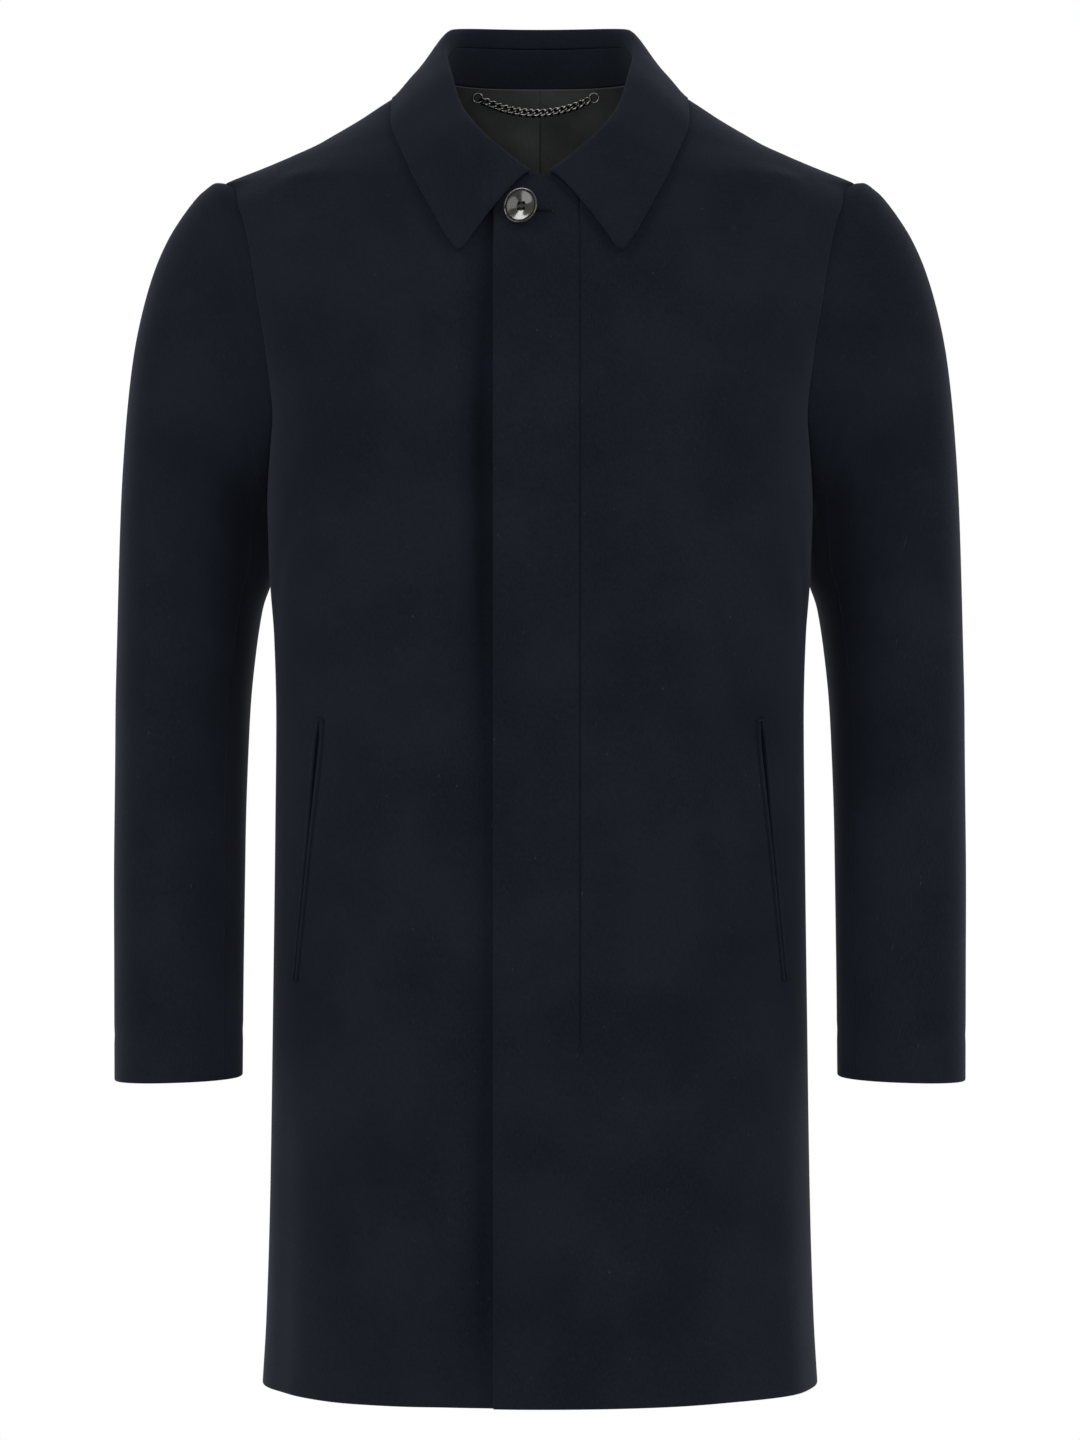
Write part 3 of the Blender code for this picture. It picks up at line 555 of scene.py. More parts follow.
def sleeve_ring(rows, turns):
    """Points of the left sleeve's rings: turn 0 on its outside, 90 in front, 180 by the body."""
    places = np.arange(len(SLEEVE["front"]), dtype=float)

    def column(name):
        return smooth(places, SLEEVE[name], rows)

    outer = np.stack([column("outer_x"), column("outer_y"), column("outer_z")], axis=-1)
    inner = np.stack([column("inner_x"), column("inner_y"), column("inner_z")], axis=-1)
    turns = np.radians(turns)
    power = 2.0 / SLEEVE_SQUARE
    lengthwise = signed_power(np.cos(turns), power)[..., None] * (outer - inner) / 2
    depth = np.where(np.sin(turns) > 0, column("front"), column("back"))
    depthwise = -depth * signed_power(np.sin(turns), power)
    return (outer + inner) / 2 + lengthwise + depthwise[..., None] * np.array([0.0, 1.0, 0.0])


def sleeve_folds(rows, turns):
    total = -CUFF_HEM_DEPTH * bell((rows - CUFF_HEM_ROW) / CUFF_HEM_WIDTH)
    for at_row, at_turn, row_spread, turn_spread, depth in zip(*SLEEVE_FOLDS.values()):
        total = total + depth * bell((rows - at_row) / row_spread) * bell((turns - at_turn) / turn_spread)
    return total


def sleeve_point(rows, turns):
    """A point of the left sleeve, which starts on the armhole and turns into its own rings."""
    ring = sleeve_ring(rows, turns)
    spoke = ring - (sleeve_ring(rows, turns * 0.0) + sleeve_ring(rows, turns * 0.0 + 180.0)) / 2
    first = sleeve_ring(np.zeros_like(rows), turns)
    blend = np.clip(1 - rows / ARMHOLE_BLEND, 0.0, None) ** 2
    folds = sleeve_folds(rows, turns % 360.0)
    start = body_point(*armhole(turns))
    return ring + folds[..., None] * unit(spoke) + blend[..., None] * (start - first)


def sleeve_normal(rows, turns):
    return surface_normal(sleeve_point, rows, turns, *SLEEVE_STEPS)


def neck_seam(turn, side):
    """The inside of the neckline, from its turn round the left half of the neck."""
    front_z, front_turn = front_neckline(np.minimum(turn, 90.0))
    behind = turn > 90.0
    heights = np.where(behind, 0.0, front_z)
    angles = side * np.where(behind, turn, front_turn)
    on_body = body_point(heights, angles)
    inside = on_body - unit(on_body * np.array([1.0, 1.0, 0.0])) * CLOTH
    return inside + np.array([0.0, 0.0, NECK_SEAM])


def collar_lines(stations):
    """Neck seam, top of the stand, fold, outer edge, reach and hollow at stations from -1 to 1."""
    count = len(COLLAR["stand"])
    places = np.linspace(-1.0, 1.0, 2 * count - 1)

    def column(name, sign=1.0):
        half = COLLAR[name]
        return smooth(places, np.concatenate([sign * half[:0:-1], half]), stations)

    side = np.where(stations < 0, -1.0, 1.0)
    neck = neck_seam(column("neck_turn"), side)
    fold = np.stack([column("fold_x", -1.0), column("fold_y"), column("fold_z")], axis=-1)
    stand = neck + unit(fold - neck) * column("stand")[:, None]
    edge_height = column("edge_z")
    edge_angle = front_angle(np.abs(column("edge_x", -1.0)), edge_height)
    behind = np.abs(stations) < COLLAR_SHOULDER / (count - 1)
    edge_angle = side * np.where(behind, 180.0 - edge_angle, edge_angle)
    lift = (COLLAR_CLOTH + column("lift"))[:, None]
    edge = body_point(edge_height, edge_angle) + body_normal(edge_height, edge_angle) * lift
    return neck, stand, fold, edge, column("reach")[:, None], column("hollow")[:, None]


# Meshes


def steps(count, length):
    """Shares from 0 to 1, crowded at both ends so that the borders of a panel can be rounded."""
    edge = np.array(EDGE_STEPS) / length
    inner = np.linspace(edge[-1], 1 - edge[-1], count)[1:-1]
    return np.concatenate([edge, inner, 1 - edge[::-1]])


def border_distances(grid):
    """Distance of every point from the first row, last row, first column and last column."""
    found = []
    for axis in (0, 1):
        lengths = np.linalg.norm(np.diff(grid, axis=axis), axis=-1)
        walked = np.concatenate([np.zeros_like(lengths.take([0], axis)), lengths.cumsum(axis)], axis)
        found += [walked, walked.take([-1], axis) - walked]
    return found


def grid_faces(rows, columns):
    corner = (np.arange(rows - 1)[:, None] * columns + np.arange(columns - 1)[None, :]).reshape(-1)
    return np.stack([corner, corner + 1, corner + columns + 1, corner + columns], axis=-1)


def add_piece(name, points, faces, material, slot, uv=None):
    """A smooth-shaded mesh that rides on the coat's one body."""
    mesh = bpy.data.meshes.new(name)
    mesh.from_pydata(np.asarray(points).reshape(-1, 3).tolist(), [], [list(map(int, face)) for face in faces])
    mesh.shade_smooth()
    mesh.materials.append(material)
    if uv is not None:
        corners = np.empty(len(mesh.loops), dtype=np.int32)
        mesh.loops.foreach_get("vertex_index", corners)
        layer = mesh.uv_layers.new(name="cut")
        layer.data.foreach_set("uv", uv.reshape(-1, 2)[corners].astype(np.float32).reshape(-1))
    made = bpy.data.objects.new(name, mesh)
    bpy.context.scene.collection.objects.link(made)
    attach(made, "root")
    return made


def shell(name, outer, normal, cloth, dips=(0.0, 0.0, 0.0, 0.0)):
    """A closed cloth shell under an outer grid: rounded borders, drawn in where they are seams."""
    thickness, material, slot = cloth
    rows, columns = outer.shape[:2]
    borders = border_distances(outer)
    sunk = np.maximum.reduce([depth * bell(away / SEAM_WIDTH) for depth, away in zip(dips, borders)])
    rounds = [SEAM_ROUND if depth > 0 else EDGE_ROUND for depth in dips]
    nearest = np.minimum.reduce([away / reach for away, reach in zip(borders, rounds)])
    rounded = np.sqrt(1 - (1 - np.clip(nearest, 0.0, 1.0)) ** 2)
    half = thickness / 2 * (EDGE_LEAST + (1 - EDGE_LEAST) * rounded)
    middle = outer - normal * (sunk + thickness / 2)[..., None]
    top = middle + normal * half[..., None]
    bottom = middle - normal * half[..., None]
    count = rows * columns
    face = grid_faces(rows, columns)
    place = np.arange(count).reshape(rows, columns)
    border = np.concatenate([place[0], place[1:, -1], place[-1, -2::-1], place[-2:0:-1, 0]])
    following = np.roll(border, -1)
    rim = np.stack([following, border, border + count, following + count], axis=-1)
    faces = np.concatenate([face, face[:, ::-1] + count, rim])
    points = np.concatenate([top.reshape(-1, 3), bottom.reshape(-1, 3)])
    flat = np.stack([borders[2], borders[0]], axis=-1).reshape(-1, 2)
    made = add_piece(name + "_cloth", points, faces, material, slot, np.concatenate([flat, flat]))
    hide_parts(name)


def grid_normals(grid):
    return unit(np.cross(np.gradient(grid, axis=1), np.gradient(grid, axis=0)))


def turned(grid):
    """A grid mirrored to the other side, with its columns turned round so it still faces out."""
    return grid[:, ::-1] * np.array([-1.0, 1.0, 1.0])


def strands(lines, radius, sides=6, closed=False):
    """Points and faces of round threads along lists of points; open ones have rounded ends.

    The radius is one value, or one for each point of a line.
    """
    turns = 2 * math.pi * np.arange(sides)[:, None] / sides
    points, faces = [], []
    base = 0
    for line in lines:
        line = np.asarray(line, dtype=float)
        count = len(line)
        along = np.gradient(line, axis=0)
        taper = np.clip(1.0 - np.linspace(-1.0, 1.0, count) ** THREAD_END, THREAD_LEAST, 1.0) ** 0.5
        if closed:
            along = np.roll(line, -1, axis=0) - np.roll(line, 1, axis=0)
            taper = np.ones(count)
        along = unit(along)
        guide = np.array([0.0, 1.0, 0.0]) if abs(along[0][1]) < UPRIGHT_LIMIT else np.array([1.0, 0.0, 0.0])
        across = unit(np.cross(along, guide))[:, None]
        spokes = np.cos(turns) * across + np.sin(turns) * np.cross(along[:, None], across)
        points.append((line[:, None] + (radius * taper)[:, None, None] * spokes).reshape(-1, 3))
        for i in range(count if closed else count - 1):
            here = base + i * sides
            after = base + (i + 1) % count * sides
            for k in range(sides):
                faces.append([here + k, here + (k + 1) % sides, after + (k + 1) % sides, after + k])
        if not closed:
            faces.append(list(range(base, base + sides))[::-1])
            faces.append(list(range(base + (count - 1) * sides, base + count * sides)))
        base += count * sides
    return np.concatenate(points), faces


def add_strands(name, lines, radius, material, slot, **kind):
    points, faces = strands(lines, radius, **kind)
    return add_piece(name, points, faces, material, slot)


# Materials


def new_material(name, colour, roughness, specular, metallic=0.0):
    """A principled material, with its node tree, its shader and its texture coordinates."""
    made = bpy.data.materials.new(name)
    made.use_nodes = True
    shader = made.node_tree.nodes["Principled BSDF"]
    shader.inputs["Base Color"].default_value = (*colour, 1.0)
    shader.inputs["Roughness"].default_value = roughness
    shader.inputs["Specular IOR Level"].default_value = specular
    shader.inputs["Metallic"].default_value = metallic
    place = made.node_tree.nodes.new("ShaderNodeTexCoord").outputs
    return made, made.node_tree, shader, place


def add_node(tree, kind, **settings):
    node = tree.nodes.new(kind)
    for name, value in settings.items():
        if name in node.inputs:
            node.inputs[name].default_value = value
        else:
            setattr(node, name, value)
    return node


def noise(tree, vector, scale, detail=3.0, stretch=None):
    """A noise texture in metres, drawn out along an axis if a stretch is given."""
    if stretch is not None:
        mapping = add_node(tree, "ShaderNodeMapping", Scale=stretch)
        tree.links.new(vector, mapping.inputs["Vector"])
        vector = mapping.outputs["Vector"]
    node = add_node(tree, "ShaderNodeTexNoise", Scale=scale, Detail=detail)
    tree.links.new(vector, node.inputs["Vector"])
    return node.outputs["Fac"]


def ramp(tree, value, *stops):
    """A colour ramp from places and their colours, or grey values."""
    node = tree.nodes.new("ShaderNodeValToRGB")
    elements = node.color_ramp.elements
    for element, (place, colour) in zip(elements, stops):
        element.position = place
        element.color = (*((colour,) * 3 if isinstance(colour, float) else colour), 1.0)
    tree.links.new(value, node.inputs["Fac"])
    return node.outputs["Color"]


def vary(tree, shader, socket, value, *stops):
    tree.links.new(ramp(tree, value, *stops), shader.inputs[socket])


def plug(tree, socket, value):
    """A socket linked to another one, or set to a constant."""
    if isinstance(value, bpy.types.NodeSocket):
        tree.links.new(value, socket)
    else:
        socket.default_value = value


def mix(tree, factor, first, second):
    """Mix of two colours, each a socket or a constant."""
    node = add_node(tree, "ShaderNodeMix", data_type="RGBA")
    plug(tree, node.inputs[0], factor)
    plug(tree, node.inputs[6], first)
    plug(tree, node.inputs[7], second)
    return node.outputs[2]


def math_node(tree, operation, *values):
    node = add_node(tree, "ShaderNodeMath", operation=operation)
    for socket, value in zip(node.inputs, values):
        plug(tree, socket, value)
    return node.outputs[0]


def bump(tree, shader, height, strength, distance):
    node = add_node(tree, "ShaderNodeBump", Strength=strength, Distance=distance)
    tree.links.new(height, node.inputs["Height"])
    tree.links.new(node.outputs["Normal"], shader.inputs["Normal"])


WOOL = (0.0026, 0.0038, 0.0064)
WOOL_LIGHT = (0.0078, 0.0098, 0.0148)
WOOL_FLECK = (0.024, 0.027, 0.034)
SATIN = (0.0272, 0.0290, 0.0284)
SATIN_LIGHT = (0.0520, 0.0545, 0.0530)
HORN = (0.0070, 0.0068, 0.0058)
HORN_LIGHT = (0.0300, 0.0280, 0.0225)
GUNMETAL = (0.050, 0.049, 0.048)
GUNMETAL_WORN = (0.210, 0.206, 0.202)
THREAD_NAVY = (0.0020, 0.0027, 0.0046)
# Painted shade: near-black colour laid in the buttonhole slit and the pocket mouths, where there is only
# shadow
PAINTED_SHADE_COLOUR = (0.0006, 0.0007, 0.0010)


def wool_material():
    """Short-napped navy wool: a fine twill under a felted surface, with a rare pale fibre."""
    made, tree, shader, place = new_material("navy_wool", WOOL, 0.90, 0.05)
    felt = noise(tree, place["Object"], 620.0, 4.0)
    fibres = noise(tree, place["UV"], 900.0, 3.0, (1.0, 0.30, 1.0))
    broad = noise(tree, place["Object"], 14.0, 3.0)
    shade = ramp(tree, felt, (0.30, WOOL), (0.72, WOOL_LIGHT))
    shade = mix(tree, 0.5, shade, ramp(tree, fibres, (0.34, WOOL), (0.70, WOOL_LIGHT)))
    shade = mix(tree, 0.35, shade, ramp(tree, broad, (0.35, WOOL), (0.65, WOOL_LIGHT)))
    fleck = noise(tree, place["UV"], 620.0, 1.0, (1.0, 0.45, 1.0))
    fleck = ramp(tree, fleck, (0.765, 0.0), (0.80, 1.0))
    shade = mix(tree, fleck, shade, (*WOOL_FLECK, 1.0))
    tree.links.new(shade, shader.inputs["Base Color"])
    shader.inputs["Sheen Weight"].default_value = 0.060
    shader.inputs["Sheen Roughness"].default_value = 0.45
    shader.inputs["Sheen Tint"].default_value = (0.62, 0.72, 0.92, 1.0)
    twill = add_node(tree, "ShaderNodeTexWave", Scale=230.0, Distortion=1.6, Detail=2.0)
    twill.bands_direction = "DIAGONAL"
    twill.inputs["Detail Scale"].default_value = 2.0
    tree.links.new(place["UV"], twill.inputs["Vector"])
    nap = math_node(tree, "ADD", math_node(tree, "MULTIPLY", twill.outputs["Fac"], 0.30), felt)
    nap = math_node(tree, "ADD", nap, fibres)
    bump(tree, shader, nap, 0.45, 0.00035)
    return made


def lining_material():
    """Dark satin: long floats that run up the piece and a soft sheen."""
    made, tree, shader, place = new_material("lining_satin", SATIN, 0.48, 0.14)
    floats = noise(tree, place["UV"], 1600.0, 2.0, (1.0, 0.06, 1.0))
    broad = noise(tree, place["Object"], 30.0, 3.0)
    shade = ramp(tree, floats, (0.30, SATIN), (0.70, SATIN_LIGHT))
    shade = mix(tree, 0.4, shade, ramp(tree, broad, (0.35, SATIN), (0.65, SATIN_LIGHT)))
    tree.links.new(shade, shader.inputs["Base Color"])
    vary(tree, shader, "Roughness", floats, (0.3, 0.40), (0.7, 0.56))
    bump(tree, shader, floats, 0.25, 0.00012)
    return made


def button_material():
    """Polished horn: dark olive-grey with cloudy streaks."""
    made, tree, shader, place = new_material("button_horn", HORN, 0.16, 0.55)
    clouds = noise(tree, place["Object"], 140.0, 5.0, (1.0, 0.35, 1.0))
    vary(tree, shader, "Base Color", clouds, (0.35, HORN), (0.75, HORN_LIGHT))
    fine = noise(tree, place["Object"], 900.0, 2.0)
    vary(tree, shader, "Roughness", fine, (0.3, 0.12), (0.7, 0.22))
    shader.inputs["Coat Weight"].default_value = 0.6
    shader.inputs["Coat Roughness"].default_value = 0.08
    bump(tree, shader, fine, 0.05, 0.0001)
    return made


def chain_material():
    """Gunmetal plating, a little worn in patches scattered by noise."""
    made, tree, shader, place = new_material("gunmetal", GUNMETAL, 0.17, 0.5, metallic=1.0)
    worn = noise(tree, place["Object"], 700.0, 4.0)
    vary(tree, shader, "Base Color", worn, (0.35, GUNMETAL), (0.75, GUNMETAL_WORN))
    vary(tree, shader, "Roughness", worn, (0.3, 0.10), (0.7, 0.24))
    bump(tree, shader, worn, 0.05, 0.0001)
    return made


def thread_material():
    """Twisted sewing thread, darker than the cloth."""
    made, tree, shader, place = new_material("sewing_thread", THREAD_NAVY, 0.70, 0.15)
    twist = noise(tree, place["Object"], 2600.0, 2.0)
    vary(tree, shader, "Base Color", twist, (0.3, THREAD_NAVY), (0.7, WOOL))
    bump(tree, shader, twist, 0.3, 0.0001)
    return made


def painted_slit_shade_material():
    """Painted shade: a near-black for the unlit inside of the buttonhole's slit and of the pocket mouths,
    with the cloth's felted grain.
    """
    made, tree, shader, place = new_material("painted_shade_black", PAINTED_SHADE_COLOUR, 0.95, 0.02)
    felt = noise(tree, place["Object"], 1800.0)
    vary(tree, shader, "Base Color", felt, (0.3, PAINTED_SHADE_COLOUR), (0.7, WOOL))
    return made


NAVY_WOOL = wool_material()
LINING_SATIN = lining_material()
BUTTON_HORN = button_material()
CHAIN_METAL = chain_material()
SEWING_THREAD = thread_material()
PAINTED_SHADE_MATERIAL = painted_slit_shade_material()

# Cloths: thickness, material and slot
BODY_WOOL = (CLOTH, NAVY_WOOL, "wool")
COLLAR_WOOL = (COLLAR_CLOTH, NAVY_WOOL, "wool")
JET_WOOL = (JET_CLOTH, NAVY_WOOL, "wool")
BACK_SATIN = (LINING_CLOTH, LINING_SATIN, "lining")


# Fronts and backs


def panel(near, far, shares):
    heights = near[0][:, None] * (1 - shares) + far[0][:, None] * shares
    angles = near[1][:, None] * (1 - shares) + far[1][:, None] * shares
    return heights, angles


def low_rows():
    """Heights from the hem up to the armhole, crowded at the hem."""
    return HEM + (PIT - HEM) * steps(LOW_ROWS, PIT - HEM)[: -len(EDGE_STEPS)]


def high_shares():
    """Shares of the way up past the armhole, with a row at the corner of the neck."""
    rise = np.linspace(0.0, 0.5, HIGH_ROWS + 1)
    top = 0.5 + 0.5 * steps(HIGH_ROWS, NECK_SPAN)[len(EDGE_STEPS):]
    return np.concatenate([rise, top])


def front_borders(edge_x):
    """Left front in heights and angles: its front edge with the neckline, and side with armhole."""
    low, high = low_rows(), high_shares()
    first_turn = math.degrees(math.asin(edge_x / NECK_HALF))
    edge_top, _ = front_neckline(first_turn)
    edge_heights = np.concatenate([low, PIT + (edge_top - PIT) * high[high <= 0.5] * 2])
    edge_angles = front_angle(np.full_like(edge_heights, edge_x), edge_heights)
    neck_shares = (high[high > 0.5] - 0.5) * 2
    neck_heights, neck_angles = front_neckline(first_turn + (90.0 - first_turn) * neck_shares)
    arm_heights, arm_angles = armhole(180.0 * (1 - high))
    near = np.concatenate([edge_heights, neck_heights]), np.concatenate([edge_angles, neck_angles])
    far = np.concatenate([low, arm_heights]), np.concatenate([np.full_like(low, 90.0), arm_angles])
    return near, far


def fly_shares(near, far):
    """Column shares of the left front, crowded along the stitch line of the fly."""
    even = steps(FRONT_COLUMNS, FRONT_SPAN)
    across = body_point(*panel(near, far, even))[..., 0]
    reach = FLY_REFINED / FRONT_SPAN
    shares = []
    for row in across:
        middle = max(np.interp(FLY_X, row, even), FLY_LEAST)
        shares.append(np.interp(even, CROWDED, (0.0, middle - reach, middle + reach, 1.0)))
    return np.array(shares)


def back_panel():
    """Left back in heights and angles: from side and armhole to the centre seam and neckline."""
    low, high = low_rows(), high_shares()
    centre_heights = np.concatenate([low, PIT * (1 - high[high <= 0.5] * 2)])
    neck_angles = 180.0 - 180.0 * (high[high > 0.5] - 0.5)
    centre = (
        np.concatenate([centre_heights, np.zeros_like(neck_angles)]),
        np.concatenate([np.full_like(centre_heights, 180.0), neck_angles]),
    )
    arm_heights, arm_angles = armhole(180.0 + 180.0 * high)
    side = np.concatenate([low, arm_heights]), np.concatenate([np.full_like(low, 90.0), arm_angles])
    return panel(side, centre, steps(BACK_COLUMNS, BACK_SPAN))


def fly_groove(points):
    """The fly's stitch line, pulled into the cloth of the left front."""
    x, z = points[..., 0], points[..., 2]
    length = ease(FLY_FOOT - FLY_FADE, FLY_FOOT + FLY_FADE, z)
    return FLY_GROOVE * bell((x - FLY_X) / FLY_GROOVE_WIDTH) * length


def lap(points):
    """How far the lower front lies behind the plain face as it runs under the lap."""
    depth = smooth(LAP["height"], LAP["depth"], points[..., 2])
    return depth * ease(*LAP_REACH, points[..., 0])


def body_shell(name, heights, angles, inset, dips):
    face = body_point(heights, angles)
    normal = body_normal(heights, angles)
    out = body_creases(heights, angles) - inset
    shell(name, face + normal * out[..., None], normal, BODY_WOOL, dips)


def build_fronts():
    near, far = front_borders(LEFT_EDGE)
    heights, angles = panel(near, far, fly_shares(near, far))
    inset = fly_groove(body_point(heights, angles))
    body_shell("front_left", heights, angles, inset, (0.0, SEAM_DIP, 0.0, SEAM_DIP))
    heights, angles = panel(*front_borders(-RIGHT_EDGE), steps(FRONT_COLUMNS, FRONT_SPAN))
    heights, angles = heights[:, ::-1], -angles[:, ::-1]
    inset = lap(body_point(heights, angles))
    body_shell("front_right", heights, angles, inset, (0.0, SEAM_DIP, SEAM_DIP, 0.0))


def build_backs():
    heights, angles = back_panel()
    dips = (0.0, SEAM_DIP, SEAM_DIP, SEAM_DIP)
    body_shell("back_left", heights, angles, 0.0, dips)
    body_shell("back_right", heights[:, ::-1], -angles[:, ::-1], 0.0, dips)


def lining_creases(x, z):
    """Soft drags of the satin below the neck, and a slow sway down the back."""

    def wave(depth, across, up):
        return depth * np.sin(x / across + z / up)

    return wave(*DRAG) * ease(*DRAG_REACH, z) + wave(*SWAY)


def build_lining():
    """Two halves; the right one laps over the left one as a pleat down the centre back."""
    heights = LINING_FOOT + (LINING_HEAD - LINING_FOOT) * steps(LINING_ROWS, LINING_HEAD - LINING_FOOT)
    narrowing = ease(*LINING_NARROWING, heights)
    side = LINING_SIDE + (LINING_SIDE_HEAD - LINING_SIDE) * narrowing
    side = side + (LINING_SIDE_NECK - side) * ease(*LINING_WIDENING, heights)
    centre = np.full_like(heights, 180.0)
    levels, angles = panel((heights, side), (heights, centre), steps(LINING_COLUMNS, LINING_SPAN))
    for name, mirrored, proud in (("lining_left", False, 0.0), ("lining_right", True, PLEAT_PROUD)):
        if mirrored:
            levels, angles = levels[:, ::-1], -angles[:, ::-1]
        face = body_point(levels, angles)
        normal = body_normal(levels, angles)
        pleat = proud * bell(face[..., 0] / PLEAT_WIDTH) * ease(LINING_HEAD, PLEAT_FULL, levels)
        free = LINING_INSET + LINING_EASE + pleat + lining_creases(face[..., 0], levels)
        tucked = ease(LINING_HEAD - LINING_TUCK, LINING_HEAD, levels)
        inset = free + tucked * (LINING_HEAD_INSET - free)
        shell(name, face - normal * inset[..., None], normal, BACK_SATIN)


# Sleeves


def joined_to_body(outer, normal, rows, turns):
    """The head of a sleeve turned into the face of the body, so that both meet in one groove."""
    heights, angles = armhole(turns)
    facing = body_normal(heights, angles)
    agree = ease(0.0, ARMHOLE_AGREE, np.sum(facing * normal, axis=-1))
    share = (agree * (1 - ease(0.0, ARMHOLE_TURN, rows)))[..., None]
    raised = facing * body_creases(heights, angles)[..., None]
    return outer + share * raised, unit(normal + share * (facing - normal))


def build_sleeves():
    panels = {
        "top": BACK_SEAM - 360.0 + (FRONT_SEAM + 360.0 - BACK_SEAM) * steps(TOP_COLUMNS, TOP_SPAN),
        "under": FRONT_SEAM + (BACK_SEAM - FRONT_SEAM) * steps(UNDER_COLUMNS, UNDER_SPAN),
    }
    dips = (SEAM_DIP, 0.0, SLEEVE_SEAM_DIP, SLEEVE_SEAM_DIP)
    for name, seams in panels.items():
        rows = (LAST_RING + SLEEVE_TUCK) * steps(SLEEVE_ROWS, SLEEVE_LENGTH) - SLEEVE_TUCK
        rows, turns = np.meshgrid(rows, seams, indexing="ij")
        normal = sleeve_normal(rows, turns)
        outer, normal = joined_to_body(sleeve_point(rows, turns), normal, rows, turns)
        shell("sleeve_left_" + name, outer, normal, BODY_WOOL, dips)
        shell("sleeve_right_" + name, turned(outer), turned(normal), BODY_WOOL, dips)


# Collar


def build_collar():
    """The fall, rolled over the fold line down to its outer edge, and the stand inside it."""
    stations = 2.0 * steps(COLLAR_COLUMNS, COLLAR_LENGTH) - 1.0
    neck, stand, fold, edge, reach, hollow = collar_lines(stations)
    rise = unit(fold - neck)
    height = np.linalg.norm(fold - stand, axis=-1, keepdims=True)
    outward = unit((edge - fold) * np.array([1.0, 1.0, 0.0]))
    start = stand + rise * COLLAR_SEAM
    first_handle = stand + rise * np.maximum(ROLL_RISE * height, ROLL_RISE_LEAST)
    second_handle = fold + outward * reach
    fall = unit(edge - fold)
    sink = unit(DOWN - fall * fall[:, 2:] * DOWN[2])
    droop = DROOP * hollow / COLLAR["hollow"].max()
    grid = []
    for t in steps(COLLAR_ROWS, COLLAR_SPAN):
        s = 1 - t
        rolled = 3 * s * s * t * first_handle + 3 * s * t * t * second_handle
        sunk = hollow * sink * (t / HOLLOW_AT) ** 4 * s / (1 - HOLLOW_AT)
        sunk = sunk + droop * sink * ease(DROOP_FROM, 1.0, t) ** 2
        grid.append(s ** 3 * start + rolled + t ** 3 * edge + sunk)
    grid = np.array(grid)
    dips = (SEAM_DIP / 2, 0.0, 0.0, 0.0)
    shell("collar_fall", grid, grid_normals(grid), COLLAR_WOOL, dips)
    inside = (1 - STAND_SHORT) * (2.0 * steps(COLLAR_COLUMNS, STAND_LENGTH) - 1.0)
    neck, stand = collar_lines(inside)[:2]
    grid = np.array([neck * (1 - t) + stand * t for t in steps(STAND_ROWS, STAND_SPAN)])
    dips = (SEAM_DIP / 2, SEAM_DIP / 2, 0.0, 0.0)
    shell("collar_stand", grid, grid_normals(grid), COLLAR_WOOL, dips)


# Pockets


def build_pockets():
    """Two narrow jets along each slanted mouth, stitched down, with a bar tack at each end, and a strand of
    painted shade in the mouth between the jets.
    """
    share = steps(JET_ROWS, JET_LENGTH)
    x = POCKET_TOP[0] + (POCKET_FOOT[0] - POCKET_TOP[0]) * share
    z = POCKET_TOP[1] + (POCKET_FOOT[1] - POCKET_TOP[1]) * share
    gape = MOUTH_GAP + MOUTH_GAPE * ease(*GAPE_OPENING, share) * ease(*GAPE_CLOSING, share)
    reach = np.linspace(0.0, 1.0, JET_COLUMNS)
    crown = JET_CLOTH * (JET_EDGE + (1 - JET_EDGE) * np.sqrt(np.clip(1 - (2 * reach - 1) ** 4, 0.0, 1.0)))
    for side_name, side in SIDES:
        angles = side * front_angle(x, z)
        normal = body_normal(z, angles)
        line = body_point(z, angles) + normal * body_creases(z, angles)[:, None]
        along = unit(np.gradient(line, axis=0))
        across = side * unit(np.cross(along, normal))
        for jet_name, way in (("front", 1.0), ("back", -1.0)):
            name = "pocket_" + side_name + "_jet_" + jet_name
            offset = way * (gape[:, None] / 2 + reach[None, :] * JET_WIDTH)
            base = line[:, None] + across[:, None] * offset[..., None]
            outer = base + normal[:, None] * crown[None, :, None]
            facing = np.broadcast_to(normal[:, None], outer.shape)
            if np.mean(np.sum(grid_normals(outer) * facing, axis=-1)) < 0:
                outer = outer[:, ::-1]
            shell(name, outer, facing, JET_WOOL)
        # A strand of painted shade along the mouth stands for its unlit inside; the front's cloth runs on
        # under it
        add_strands("pocket_" + side_name + "_mouth_painted_shade", [line], gape / 2, PAINTED_SHADE_MATERIAL, "wool")
        beside = (gape / 2 + JET_WIDTH + THREAD / 2)[:, None] * across
        sewing = [line + beside, line - beside]
        for end in (0, -1):
            for step in np.linspace(-BAR_TACK_HEIGHT, BAR_TACK_HEIGHT, BAR_TACK_THREADS):
                middle = line[end] + along[end] * step + normal[end] * (JET_CLOTH + THREAD / 2)
                reaches = np.linspace(-BAR_TACK, BAR_TACK, BAR_POINTS)[:, None]
                sewing.append(middle + across[end] * reaches)
        add_strands("pocket_" + side_name + "_sewing", sewing, THREAD, SEWING_THREAD, "wool")


# Button, buttonhole and stitching


def on_front(x, z, lift=0.0):
    """A point on the left front, with the direction out of the cloth."""
    angle = front_angle(np.asarray(x, dtype=float), np.asarray(z, dtype=float))
    normal = body_normal(z, angle)
    out = body_creases(z, angle) + lift
    return body_point(z, angle) + normal * np.asarray(out)[..., None], normal


